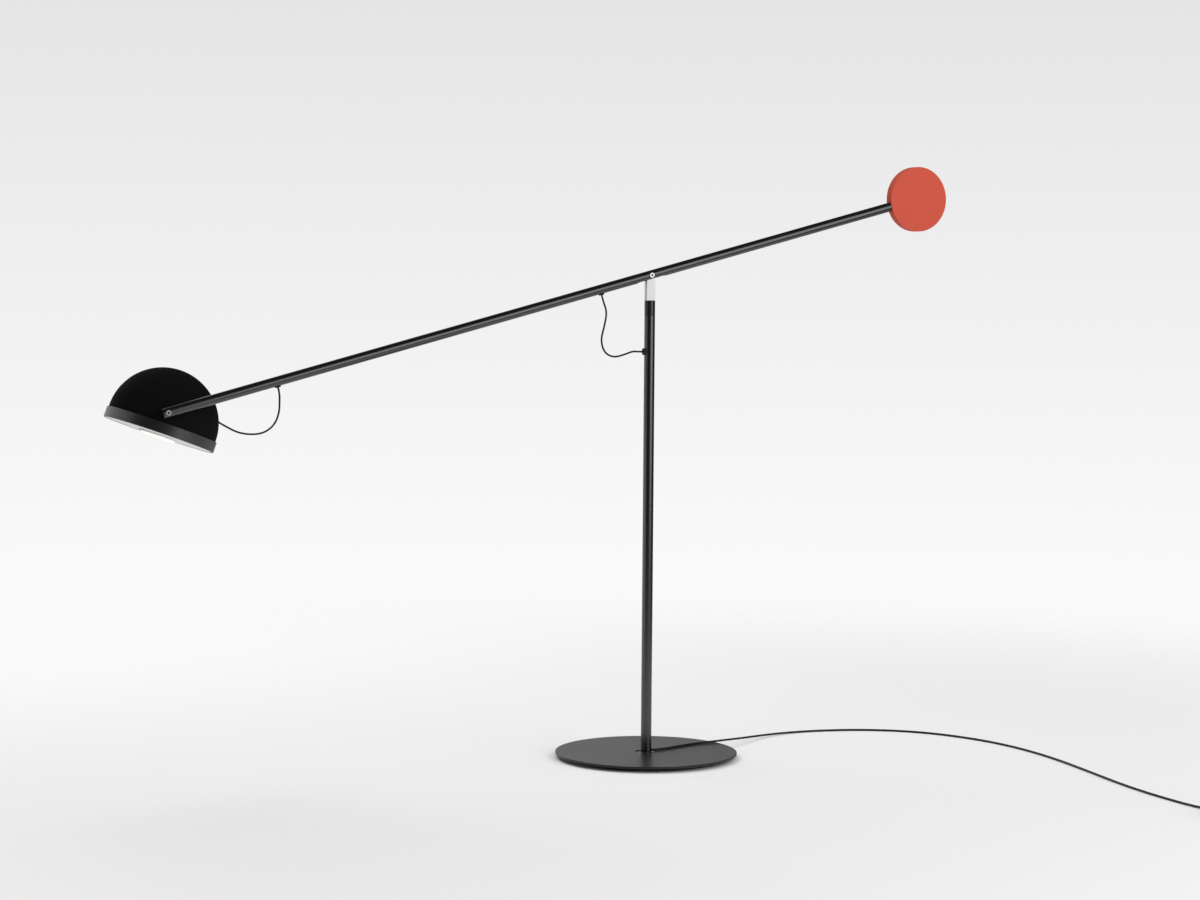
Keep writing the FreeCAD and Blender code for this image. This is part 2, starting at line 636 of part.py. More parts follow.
def arm():
    end_x = -HINGE_REACH - ARM_END_OVER
    tail_x = DISC_RIM_X - SLIP_GAP
    hinge = Vector(-HINGE_REACH, 0, 0)
    tube = cylinder(ARM_D, end_x, tail_x, ORIGIN, X_AXIS).cut(
        cylinder(ARM_BORE, end_x - OVER, tail_x + OVER, ORIGIN, X_AXIS))
    tube = tube.cut(stadium(SLOT_L, SLOT_W, -ARM_D, 0))
    spots = [(ORIGIN, -1, SCREW_HEAD_D), (ORIGIN, 1, SPRING_WASHER_D),
             (hinge, -1, SCREW_HEAD_D), (hinge, 1, HINGE_WASHER_D)]
    for centre, side, diameter in spots:
        tube = tube.cut(cylinder(diameter + 2 * SPOT_MARGIN, SPOT_Y, ARM_D, centre, Y_AXIS * side))
    for centre in (ORIGIN, hinge):
        tube = tube.cut(cylinder(2 * CLEAR_HOLE_R, -ARM_D, ARM_D, centre, Y_AXIS))
    for reach in (ARM_GROMMET_NEAR, ARM_GROMMET_FAR):
        tube = tube.cut(cylinder(GROMMET_BODY_D + 2 * SEAT_GAP, 0, ARM_D,
                                 Vector(-reach, 0, 0), -Z_AXIS))

    bore_bar = ARM_BORE - 2 * SEAT_GAP
    pads = []
    for side in (-1, 1):
        pad = washer_ring(EYE_D, 2 * CLEAR_HOLE_R, EYE_T / 2 + RUN_GAP, ARM_D, ORIGIN)
        pad = pad.common(cylinder(bore_bar, -EYE_D, EYE_D, ORIGIN, X_AXIS))
        if side < 0:
            pad.rotate(ORIGIN, Z_AXIS, 180)
        pads.append(pad)

    nut_y = SPOT_Y + SPRING_WASHER_T
    nut = washer_ring(NUT_D, SCREW_D + 2 * SEAT_GAP, nut_y, nut_y + NUT_T, ORIGIN)
    spring = washer_ring(SPRING_WASHER_D, 2 * CLEAR_HOLE_R, SPOT_Y, nut_y, ORIGIN)
    hinge_washer = washer_ring(HINGE_WASHER_D, 2 * CLEAR_HOLE_R, SPOT_Y, BOSS_FACE_Y, hinge)

    plug = cylinder(bore_bar, end_x, end_x + PLUG_L, ORIGIN, X_AXIS)
    plug = plug.cut(cylinder(2 * CLEAR_HOLE_R, -ARM_D, ARM_D, hinge, Y_AXIS))
    plug = plug.common(block((end_x, 0), (-SPOT_Y, SPOT_Y), (-ARM_D, ARM_D)))
    stud = cylinder(bore_bar, tail_x - STUD_PLUG_L, tail_x, ORIGIN, X_AXIS)
    stud = stud.fuse(cylinder(STUD_D, tail_x, DISC_RIM_X + STUD_REACH, ORIGIN, X_AXIS))

    grommet_end = ARM_D / 2 + GROMMET_OUT
    cable = cord([Vector(-ARM_GROMMET_NEAR, 0, -grommet_end),
                  Vector(-ARM_GROMMET_NEAR, 0, ARM_CABLE_RISE),
                  Vector(-ARM_GROMMET_FAR, 0, ARM_CABLE_RISE),
                  Vector(-ARM_GROMMET_FAR, 0, -grommet_end)], CABLE_D, "arm_cable")

    save("arm_tube", placed(tube, ARM_PLACE))
    save("friction_pads", *[placed(pad, ARM_PLACE) for pad in pads])
    save("pivot_screw", placed(socket_screw(0, nut_y + NUT_T - SLIP_GAP), ARM_PLACE))
    save("spring_washer", placed(spring, ARM_PLACE))
    save("pivot_nut", placed(nut, ARM_PLACE))
    save("hinge_washer", placed(hinge_washer, ARM_PLACE))
    save("end_plug", placed(plug, ARM_PLACE))
    save("tail_stud", placed(stud, ARM_PLACE))
    save("arm_grommets", *[placed(arm_grommet(-reach), ARM_PLACE)
                           for reach in (ARM_GROMMET_NEAR, ARM_GROMMET_FAR)])
    save("arm_cable", placed(cable, ARM_PLACE))


def counterweight():
    centre = Vector(DISC_REACH, 0, 0)
    disc = cylinder(DISC_D, -DISC_T / 2, DISC_T / 2, centre, Y_AXIS)
    edges = circle_edges(disc, DISC_D, -DISC_T / 2, Y_AXIS) + circle_edges(disc, DISC_D, DISC_T / 2, Y_AXIS)
    disc = disc.makeFillet(DISC_EDGE, edges)
    disc = disc.cut(cylinder(STUD_D + 2 * SEAT_GAP, DISC_RIM_X - OVER,
                             DISC_RIM_X + STUD_REACH + STUD_HOLE_OVER, ORIGIN, X_AXIS))
    grub_foot = Vector(DISC_RIM_X + GRUB_REACH, 0, 0)
    disc = disc.cut(cylinder(GRUB_D + 2 * SEAT_GAP, 0, DISC_T, grub_foot, Y_AXIS))
    grub = cylinder(GRUB_D, STUD_D / 2 + SEAT_GAP, DISC_T / 2 - GRUB_INSET, grub_foot, Y_AXIS)
    save("counterweight_disc", placed(disc, ARM_PLACE))
    save("grub_screw", placed(grub, ARM_PLACE))


# ---------------------------------------------------------------- shade
def dome_shell():
    outer = Part.makeSphere(SHADE_HALF, ORIGIN, Z_AXIS, 0, 90, 360)
    outer = outer.fuse(cylinder(DOME_D, -DOME_SKIRT, 0))
    inner = Part.makeSphere(SHADE_HALF - DOME_WALL, ORIGIN, Z_AXIS, 0, 90, 360)
    inner = inner.fuse(cylinder(DOME_D - 2 * DOME_WALL, -DOME_SKIRT - OVER, 0))
    return outer.cut(inner)


def shade_hinge_axis():
    """The hinge's centre in the shade's own frame, on the arm's plane."""
    return Vector(-HINGE_OUT, -DOME_BEHIND, HINGE_UP)


def hinge_clamp():
    """What clamps the dome's wall at the hinge."""
    hinge = shade_hinge_axis()
    spigot_hole = cylinder(BOSS_SPIGOT_D + 2 * SEAT_GAP, 0, DOME_D, hinge, Y_AXIS)
    screw_hole = cylinder(SCREW_D + 2 * SEAT_GAP, 0, DOME_D, hinge, Y_AXIS)
    boss = cylinder(BOSS_D, BOSS_FACE_Y, BOSS_SPIGOT_END, hinge, Y_AXIS)
    boss = boss.cut(Part.makeSphere(SHADE_HALF + SEAT_GAP))
    boss = boss.fuse(cylinder(BOSS_SPIGOT_D, BOSS_FACE_Y, BOSS_SPIGOT_END, hinge, Y_AXIS))
    pad = cylinder(INNER_PAD_D, BOSS_FACE_Y, INNER_PAD_END, hinge, Y_AXIS)
    pad = pad.common(Part.makeSphere(SHADE_INNER - SEAT_GAP))
    nut = prism(HINGE_NUT_AF, INNER_PAD_END, INNER_PAD_END + HINGE_NUT_T, hinge, Y_AXIS)
    screw = socket_screw(0, INNER_PAD_END + HINGE_NUT_T + HINGE_SCREW_OVER)
    screw.translate(hinge)
    return {"hinge_boss": boss.cut(screw_hole), "hinge_pad": pad.cut(spigot_hole),
            "hinge_nut": nut.cut(screw_hole), "hinge_screw": screw}


def ring_and_carrier():
    """Rim ring, and the plate that three screws hold on its inner flange."""
    ring = turned([(RING_R, -RING_DROP - RING_EDGE), (RING_R, RING_BOTTOM + RING_EDGE),
                   (RING_R - RING_EDGE, RING_BOTTOM), (RING_R - RING_LIP_W, RING_BOTTOM),
                   (RING_INNER, -FLANGE_TOP - FLANGE_T),
                   (FLANGE_D / 2, -FLANGE_TOP - FLANGE_T), (FLANGE_D / 2, -FLANGE_TOP),
                   (LEDGE_D / 2, -FLANGE_TOP), (LEDGE_D / 2, -DOME_SKIRT),
                   (SHADE_HALF + SEAT_GAP, -DOME_SKIRT), (SHADE_HALF + SEAT_GAP, -RING_DROP),
                   (RING_R - RING_EDGE, -RING_DROP)])
    carrier = cylinder(LEDGE_D - 2 * SLIP_GAP, -FLANGE_TOP, CARRIER_TOP)
    carrier = carrier.fuse(cylinder(PEDESTAL_D, -FLANGE_TOP - PEDESTAL_H, -FLANGE_TOP))
    screws = []
    for place in ring_places(CARRIER_SCREWS, CARRIER_SCREW_PCD, CARRIER_SCREW_TURN):
        ring = ring.cut(cylinder(CARRIER_SCREW_D + 2 * SEAT_GAP, RING_BOTTOM, CARRIER_TOP, place))
        carrier = carrier.cut(cylinder(CARRIER_SCREW_D + 2 * SLIP_GAP, RING_BOTTOM, CARRIER_TOP + OVER, place))
        shank = cylinder(CARRIER_SCREW_D, -FLANGE_TOP - FLANGE_T, CARRIER_TOP, place)
        head = cylinder(CARRIER_SCREW_HEAD_D, CARRIER_TOP, CARRIER_TOP + CARRIER_SCREW_HEAD_H, place)
        screws.append(head.fuse(shank))
    return {"rim_ring": ring, "led_carrier": carrier}, screws


def heat_sink():
    sink = cylinder(SINK_D, CARRIER_TOP, CARRIER_TOP + SINK_BASE_T)
    sink = sink.fuse(cylinder(SINK_HUB_D, CARRIER_TOP, SINK_TOP))
    fin = block((0, SINK_D / 2 - SLIP_GAP), (-SINK_FIN_T / 2, SINK_FIN_T / 2), (CARRIER_TOP, SINK_TOP))
    for k in range(SINK_FINS):
        blade = fin.copy()
        blade.rotate(ORIGIN, Z_AXIS, 360.0 * k / SINK_FINS)
        sink = sink.fuse(blade)
    return sink.removeSplitter()


def light_unit():
    """LED board and emitter, lens and its holder, and the white reflector pan."""
    board_z = -FLANGE_TOP - PEDESTAL_H
    emitter_z = board_z - BOARD_T
    lens_top = emitter_z - EMITTER_T - SLIP_GAP
    lens_bottom = lens_top - LENS_EDGE_T
    holder_end = lens_top - LENS_HELD
    lens_r = LENS_D / 2
    holder = turned([(HOLDER_D / 2, -FLANGE_TOP), (HOLDER_D / 2, holder_end),
                     (lens_r + SLIP_GAP, holder_end), (lens_r + SLIP_GAP, lens_top),
                     (lens_r - HOLDER_LIP_W, lens_top), (lens_r - HOLDER_LIP_W, -FLANGE_TOP)])
    crown_r = (lens_r ** 2 + LENS_CROWN ** 2) / (2 * LENS_CROWN)
    lens = cylinder(LENS_D, lens_bottom - LENS_CROWN, lens_top).common(
        Part.makeSphere(crown_r, Vector(0, 0, lens_bottom - LENS_CROWN + crown_r)))

    wall_top = -FLANGE_TOP - FLANGE_T - SEAT_GAP
    face_z = RING_BOTTOM + REFLECTOR_RECESS
    edge_r = RING_INNER - REFLECTOR_CLEAR
    collar_r = HOLDER_D / 2 + SEAT_GAP
    reflector = turned([(edge_r, wall_top), (edge_r, face_z), (collar_r, face_z),
                        (collar_r, face_z + REFLECTOR_T),
                        (edge_r - REFLECTOR_T, face_z + REFLECTOR_T), (edge_r - REFLECTOR_T, wall_top)])
    return {"led_board": cylinder(BOARD_D - 2 * SLIP_GAP, emitter_z, board_z),
            "led_emitter": cylinder(EMITTER_D, emitter_z - EMITTER_T, emitter_z),
            "lens_holder": holder, "lens": lens, "reflector": reflector}


def driver_and_lead(nipple_dir):
    """Driver board on the heat sink, and the lead from it out through the dome's wall."""
    driver = block((-DRIVER_L / 2, DRIVER_L / 2), (-DRIVER_W / 2, DRIVER_W / 2),
                   (SINK_TOP, SINK_TOP + DRIVER_T))
    for x, length, width in DRIVER_PARTS:
        driver = driver.fuse(block((x - length / 2, x + length / 2), (-width / 2, width / 2),
                                   (SINK_TOP, SINK_TOP + DRIVER_T + DRIVER_PART_H)))
    last_x, last_length, last_width = DRIVER_PARTS[-1]

    nipple = cylinder(GROMMET_FLANGE_D, SHADE_INNER, NIPPLE_TIP, ORIGIN, nipple_dir)
    nipple = nipple.cut(Part.makeSphere(SHADE_HALF + SEAT_GAP))
    nipple = nipple.fuse(cylinder(GROMMET_BODY_D, SHADE_INNER - NIPPLE_IN, NIPPLE_TIP,
                                  ORIGIN, nipple_dir))
    nipple = nipple.cut(cylinder(CABLE_D + 2 * SEAT_GAP, 0, DOME_D, ORIGIN, nipple_dir))
    lead_z = SINK_TOP + DRIVER_T + CABLE_D / 2 + SEAT_GAP
    lead = cord([nipple_dir * NIPPLE_TIP, nipple_dir * (SHADE_HALF - NIPPLE_BEND_DEPTH),
                 Vector(DRIVER_CABLE_TURN, 0, lead_z),
                 Vector(last_x + last_length / 2, 0, lead_z)], CABLE_D, "dome_cable")
    return {"driver_board": driver, "dome_grommet": nipple, "dome_cable": lead}


def shade():
    """Saves the shade's pieces; returns the tip and direction of the dome's grommet."""
    nipple_dir = Rotation(Z_AXIS, NIPPLE_TURN).multVec(
        Rotation(Y_AXIS, -NIPPLE_ELEVATION).multVec(X_AXIS))
    dome = dome_shell()
    dome = dome.cut(cylinder(BOSS_SPIGOT_D + 2 * SEAT_GAP, 0, INNER_PAD_END,
                             shade_hinge_axis(), Y_AXIS))
    dome = dome.cut(cylinder(GROMMET_BODY_D + 2 * SEAT_GAP, 0, DOME_D, ORIGIN, nipple_dir))
    pieces, screws = ring_and_carrier()
    pieces.update({"dome": dome, "heat_sink": heat_sink()})
    pieces.update(hinge_clamp())
    pieces.update(light_unit())
    pieces.update(driver_and_lead(nipple_dir))
    for name, piece in pieces.items():
        save(name, placed(piece, SHADE_PLACE))
    save("carrier_screws", *[placed(screw, SHADE_PLACE) for screw in screws])
    return SHADE_PLACE.multVec(nipple_dir * NIPPLE_TIP), SHADE_TURN.multVec(nipple_dir)


# ---------------------------------------------------------------- flex
def flex_and_jumpers(nipple):
    flex_start = BASE_DIR * (STEM_D / 2 + GROMMET_OUT) + Vector(0, 0, EXIT_Z)
    flex_end = Vector(SWITCH_X, SWITCH_NEAR_Y, SWITCH_CORD_Z)
    save("cord_flex", held_cord((flex_start, BASE_DIR, FLEX_STEM_RUN), FLEX_ROUTE,
                                (flex_end, Y_AXIS, FLEX_SWITCH_RUN), FLEX_D, "cord_flex"))

    grommet_end = ARM_D / 2 + GROMMET_OUT
    near = ARM_PLACE.multVec(Vector(-ARM_GROMMET_NEAR, 0, -grommet_end))
    far = ARM_PLACE.multVec(Vector(-ARM_GROMMET_FAR, 0, -grommet_end))
    down = ARM_PLACE.Rotation.multVec(-Z_AXIS)
    stem_end = Vector(-STEM_D / 2 - STEM_GROMMET_OUT, 0, PIVOT_Z - STEM_GROMMET_DROP)
    nipple_tip, nipple_dir = nipple
    save("jumper_stem_arm", held_cord((near, down, JUMPER_ARM_RUN), JUMPER_STEM_ARM_ROUTE,
                                      (stem_end, -X_AXIS, JUMPER_STEM_RUN), CABLE_D, "jumper_stem_arm"))
    save("jumper_arm_shade", held_cord((far, down, JUMPER_ARM_RUN), JUMPER_ARM_SHADE_ROUTE,
                                       (nipple_tip, nipple_dir, JUMPER_SHADE_RUN), CABLE_D,
                                       "jumper_arm_shade"))


def rounded_box(x, y, z, edge_r):
    box = block(x, y, z)
    upright = [edge for edge in box.Edges
               if abs(edge.tangentAt(edge.FirstParameter).z) > 0.9]
    return box.makeFillet(edge_r, upright)


def relief(start, direction, root_d, length):
    """Tapered strain relief; start is the end that the flex enters."""
    return cone(RELIEF_TIP_D, root_d, 0, length, start, direction)


def inline_switch():
    near_face = SWITCH_NEAR_Y - RELIEF_L
    far_face = near_face - SWITCH_L
    middle_y = (near_face + far_face) / 2
    x = (SWITCH_X - SWITCH_W / 2, SWITCH_X + SWITCH_W / 2)
    y = (far_face, near_face)
    outer = rounded_box(x, y, (0, SWITCH_H), SWITCH_EDGE_R)
    wall = SWITCH_WALL
    inner = block((x[0] + wall, x[1] - wall), (y[0] + wall, y[1] - wall), (wall, SWITCH_H - wall))
    shell = outer.cut(inner)
    tray = shell.common(block((x[0] - OVER, x[1] + OVER), (y[0] - OVER, y[1] + OVER),
                              (-OVER, SWITCH_SPLIT_Z)))
    cover = shell.common(block((x[0] - OVER, x[1] + OVER), (y[0] - OVER, y[1] + OVER),
                               (SWITCH_SPLIT_Z, SWITCH_H + OVER)))

    # the rocker's window, and the two cheeks that carry its pin
    half_w = ROCKER_W / 2
    half_l = ROCKER_L / 2
    cover = cover.cut(block((SWITCH_X - half_w - ROCKER_GAP, SWITCH_X + half_w + ROCKER_GAP),
                            (middle_y - half_l - 2 * ROCKER_GAP, middle_y + half_l + 2 * ROCKER_GAP),
                            (ROCKER_AXIS_Z, SWITCH_H + OVER)))
    axis_point = Vector(SWITCH_X, middle_y, ROCKER_AXIS_Z)
    for side in (-1, 1):
        near_x = SWITCH_X + side * (half_w + ROCKER_GAP)
        far_x = near_x + side * CHEEK_T
        cover = cover.fuse(block((min(near_x, far_x), max(near_x, far_x)),
                                 (middle_y - CHEEK_L / 2, middle_y + CHEEK_L / 2),
                                 (SWITCH_SPLIT_Z + SLIP_GAP, SWITCH_H - wall)))
    pin_reach = half_w + ROCKER_PIN_REACH
    cover = cover.cut(cylinder(ROCKER_PIN_D + 2 * RUN_GAP, -pin_reach - SLIP_GAP,
                               pin_reach + SLIP_GAP, axis_point, X_AXIS))

    profile = [(-half_l, -ROCKER_BELOW), (half_l, -ROCKER_BELOW), (half_l, ROCKER_TOP),
               (0, ROCKER_TOP - ROCKER_DISH), (-half_l, ROCKER_TOP)]
    points = [axis_point + Vector(-half_w, along, up) for along, up in profile]
    points.append(points[0])
    rocker = Part.Face(Part.makePolygon(points)).extrude(X_AXIS * ROCKER_W)
    rocker = rocker.fuse(cylinder(ROCKER_PIN_D, -pin_reach, pin_reach, axis_point, X_AXIS))
    rocker.rotate(axis_point, X_AXIS, -ROCKER_SWING / 2)

    terminals = block((SWITCH_X - BLOCK_W / 2, SWITCH_X + BLOCK_W / 2),
                      (middle_y - BLOCK_L / 2, middle_y + BLOCK_L / 2), (wall, wall + BLOCK_H))
    near_relief = relief(Vector(SWITCH_X, SWITCH_NEAR_Y, SWITCH_CORD_Z), -Y_AXIS, RELIEF_D, RELIEF_L)
    far_end = Vector(SWITCH_X, far_face - RELIEF_L, SWITCH_CORD_Z)
    far_relief = relief(far_end, Y_AXIS, RELIEF_D, RELIEF_L)
    save("switch_base", tray)
    save("switch_cover", cover)
    save("switch_rocker", rocker)
    save("switch_block", terminals)
    save("switch_reliefs", near_relief, far_relief)
    return far_end


def coil_point(turn, centre, low):
    """Point and direction on the coil: turn runs from -COIL_TURNS to +COIL_TURNS.

    The lower layer spirals in, climbs during the half turn where the spiral
    reverses, and the upper layer spirals out again.
    """
    def position(value):
        radius = COIL_MIN_R + COIL_PITCH * abs(value)
        angle = math.pi + 2 * math.pi * (value + COIL_TURNS)
        climb = min(max(2 * value + 0.5, 0), 1)
        climb = climb * climb * (3 - 2 * climb)
        return centre + Vector(radius * math.cos(angle), radius * math.sin(angle),
                               low + COIL_PITCH * climb)
    return position(turn), Vector(position(turn + TINY) - position(turn - TINY)).normalize()


def coil(start):
    low = COIL_LIFT + TIE_GAP + FLEX_D / 2
    outer_r = COIL_MIN_R + COIL_PITCH * COIL_TURNS
    centre = Vector(start.x + outer_r, start.y - COIL_LEAD, 0)
    quarters = int(round(8 * COIL_TURNS))
    turns = [-COIL_TURNS + 2 * COIL_TURNS * k / quarters for k in range(quarters + 1)]
    stations = [coil_point(turn, centre, low) for turn in turns]
    first = start - Y_AXIS * FLEX_D
    edges = [Part.LineSegment(start, first).toShape()]
    edges += biarc(first, -Y_AXIS, stations[0][0], stations[0][1])
    for (point, direction), (next_point, next_dir) in zip(stations, stations[1:]):
        edges += biarc(point, direction, next_point, next_dir)
    leave, leave_dir = stations[-1]
    end = Vector(centre.x + COIL_OUT, leave.y, leave.z)
    last = end - X_AXIS * FLEX_D
    edges += biarc(leave, leave_dir, last, X_AXIS)
    edges.append(Part.LineSegment(last, end).toShape())

    samples = Part.Wire(edges).discretize(Distance=COIL_SAMPLE)
    apart = int(COIL_NEIGHBOURS * FLEX_D / COIL_SAMPLE)
    gap = min(samples[i].distanceToPoint(samples[j])
              for i in range(0, len(samples), 2)
              for j in range(i + apart, len(samples))) - FLEX_D
    print("cord_coil least gap to itself", round(gap, 2))

    tube = swept(edges, FLEX_D, "cord_coil")
    inner = COIL_MIN_R - FLEX_D / 2 - TIE_GAP
    outer = outer_r + FLEX_D / 2 + TIE_GAP
    bottom = low - FLEX_D / 2 - TIE_GAP
    top = low + COIL_PITCH + FLEX_D / 2 + TIE_GAP
    half = TIE_W / 2
    tie = block((inner - TIE_T, outer + TIE_T), (-half, half), (bottom - TIE_T, top + TIE_T))
    tie = tie.cut(block((inner, outer), (-TIE_W, TIE_W), (bottom, top)))
    tie.rotate(ORIGIN, Z_AXIS, TIE_ANGLE)
    tie.translate(centre)
    save("cord_coil", tube)
    save("coil_tie", tie)
    return end


def adapter(start):
    x = (start.x + ADAPTER_RELIEF_L, start.x + ADAPTER_RELIEF_L + ADAPTER_L)
    y = (start.y - ADAPTER_W / 2, start.y + ADAPTER_W / 2)
    wall = ADAPTER_WALL
    outer = rounded_box(x, y, (0, ADAPTER_H), ADAPTER_EDGE_R)
    shell = outer.cut(block((x[0] + wall, x[1] - wall), (y[0] + wall, y[1] - wall),
                            (wall, ADAPTER_H - wall)))
    pin_z = ADAPTER_SPLIT_Z
    pins = []
    for side in (-1, 1):
        foot = Vector(x[1], start.y + side * PIN_SPACING / 2, pin_z)
        pin = cylinder(PIN_D, -PIN_ROOT, PIN_L, foot, X_AXIS)
        shell = shell.cut(cylinder(PIN_D + 2 * SEAT_GAP, -PIN_ROOT, PIN_L, foot, X_AXIS))
        pins.append(pin)
    low = shell.common(block((x[0] - OVER, x[1] + OVER), (y[0] - OVER, y[1] + OVER),
                             (-OVER, ADAPTER_SPLIT_Z)))
    high = shell.common(block((x[0] - OVER, x[1] + OVER), (y[0] - OVER, y[1] + OVER),
                              (ADAPTER_SPLIT_Z, ADAPTER_H + OVER)))
    board_x = x[0] + wall + SLIP_GAP
    board = block((board_x, board_x + ADAPTER_BOARD_L),
                  (start.y - ADAPTER_BOARD_W / 2, start.y + ADAPTER_BOARD_W / 2),
                  (wall, wall + ADAPTER_BOARD_T))
    board = board.fuse(block((board_x + TRANSFORMER_INSET, board_x + TRANSFORMER_INSET + TRANSFORMER),
                             (start.y - TRANSFORMER / 2, start.y + TRANSFORMER / 2),
                             (wall, wall + ADAPTER_BOARD_T + TRANSFORMER)))
    save("adapter_base", low)
    save("adapter_cover", high)
    save("adapter_pins", *pins)
    save("adapter_board", board)
    save("adapter_relief", relief(start, X_AXIS, ADAPTER_RELIEF_D, ADAPTER_RELIEF_L))


def main():
    os.makedirs("parts", exist_ok=True)
    bolt_tool = base()
    stem(bolt_tool)
    swivel()
    arm()
    counterweight()
    flex_and_jumpers(shade())
    coil_start = inline_switch()
    adapter(coil(coil_start))
    print("hinge point", HINGE_POINT, "shade centre", SHADE_CENTRE)


main()
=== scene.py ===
# %% [markdown]
# # A counterweight balance desk lamp
#
# A thin black arm tilts on top of a plain stem. A red steel disc on its short end
# balances a black hemispherical LED shade on its long end. The lamp stands on a thin
# round base, and a thin flex runs from the foot of the stem across the table.
#
# The construction comes in as a fixed frame of metal pieces. This lesson gives every
# one of them its finish, and builds what metal construction can't: the flex and its
# coil, the two jumpers, and the small moulded details.

import math

import bmesh
import bpy
from mathutils import Matrix, Vector


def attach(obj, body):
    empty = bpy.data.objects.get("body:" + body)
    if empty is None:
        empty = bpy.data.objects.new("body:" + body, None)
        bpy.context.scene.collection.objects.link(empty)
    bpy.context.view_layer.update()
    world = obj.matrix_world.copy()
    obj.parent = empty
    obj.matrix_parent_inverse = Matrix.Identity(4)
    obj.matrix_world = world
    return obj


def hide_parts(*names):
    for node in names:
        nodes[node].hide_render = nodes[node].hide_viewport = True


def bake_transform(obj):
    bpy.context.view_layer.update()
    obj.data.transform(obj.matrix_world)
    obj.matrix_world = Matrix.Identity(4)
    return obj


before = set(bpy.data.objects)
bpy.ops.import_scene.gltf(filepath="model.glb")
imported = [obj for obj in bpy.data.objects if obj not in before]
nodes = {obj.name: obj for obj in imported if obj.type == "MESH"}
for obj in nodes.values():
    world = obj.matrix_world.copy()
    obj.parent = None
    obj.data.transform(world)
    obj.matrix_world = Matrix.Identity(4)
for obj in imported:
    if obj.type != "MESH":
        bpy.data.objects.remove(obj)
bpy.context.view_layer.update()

# %% [markdown]
# ## The camera
#
# The photograph was taken with a long lens from a little above the arm, well to the
# left of the lamp's front. Its place was found by fitting the base's ellipse, the stem,
# the arm, the disc and the shade's ring, so it is written here as plain numbers: a
# place in metres, a heading from +Y towards +X, a small pitch down and a slight roll.

# %% Set up the camera
CAMERA_PLACE = Vector((-1.545515, -3.163116, 0.622227))
CAMERA_HEADING = math.radians(25.0026)
CAMERA_PITCH = math.radians(3.5091)
CAMERA_ROLL = math.radians(0.4253)
CAMERA_LENS_MM = 80.53
SENSOR_MM = 36.0


def camera_axes(heading, pitch, roll):
    """Right, up and forward directions of a camera."""
    forward = Vector((
        math.sin(heading) * math.cos(pitch),
        math.cos(heading) * math.cos(pitch),
        -math.sin(pitch),
    ))
    level = Vector((math.cos(heading), -math.sin(heading), 0))
    upright = level.cross(forward)
    right = level * math.cos(roll) + upright * math.sin(roll)
    up = upright * math.cos(roll) - level * math.sin(roll)
    return right, up, forward


def make_camera():
    right, up, forward = camera_axes(CAMERA_HEADING, CAMERA_PITCH, CAMERA_ROLL)
    data = bpy.data.cameras.new("camera")
    data.sensor_width = SENSOR_MM
    data.lens = CAMERA_LENS_MM
    data.clip_start = 0.05
    camera = bpy.data.objects.new("camera", data)
    turn = Matrix((right, up, -forward)).transposed()
    camera.matrix_world = Matrix.Translation(CAMERA_PLACE) @ turn.to_4x4()
    bpy.context.scene.collection.objects.link(camera)
    bpy.context.scene.camera = camera
    return camera


camera = make_camera()
print("camera at", tuple(round(x, 3) for x in camera.location))

# %% [markdown]
# ## Small helpers for shaders
#
# Every material below is a small node tree. Two helpers keep the trees readable: one
# adds a node and fills in its sockets by name, the other puts a finished material on a
# piece. A material reads Object coordinates, which are metres in the lamp's own frame,
# so a grain of 0.2 mm is a grain of 0.2 mm on every piece.

# %% Helpers for node trees
def add_node(tree, kind, at, values=None, **settings):
    """A node of one kind at a place in the editor; values go into its input sockets."""
    made = tree.nodes.new(kind)
    made.location = at
    for name, value in settings.items():
        setattr(made, name, value)
    for name, value in (values or {}).items():
        made.inputs[name].default_value = value
    return made


def new_material(name):
    """A material with a Principled shader, its output and Object coordinates."""
    material = bpy.data.materials.new(name)
    material.use_nodes = True
    tree = material.node_tree
    tree.nodes.clear()
    output = add_node(tree, "ShaderNodeOutputMaterial", (600, 0))
    shader = add_node(tree, "ShaderNodeBsdfPrincipled", (300, 0))
    place = add_node(tree, "ShaderNodeTexCoord", (-900, 0))
    tree.links.new(shader.outputs["BSDF"], output.inputs["Surface"])
    return material, tree, shader, place


def finish_piece(obj, material):
    """Put one material on all of a piece."""
    obj.data.materials.clear()
    obj.data.materials.append(material)


# %% [markdown]
# ## Shared effect: the grain of a coat
#
# Powder coat, moulded plastic and rubber all have a fine pebbled grain that breaks up
# the gloss. One node group makes it for all of them: a fine noise for the height, and
# a broad, slow one that shifts the roughness and the shade by a little, as a sprayed
# coat does. Each material places the group with its own scale and strength.

# %% Build the coat grain group
def group_socket(group, name, kind, direction, value=None):
    socket = group.interface.new_socket(name=name, in_out=direction, socket_type=kind)
    if value is not None:
        socket.default_value = value
    return socket


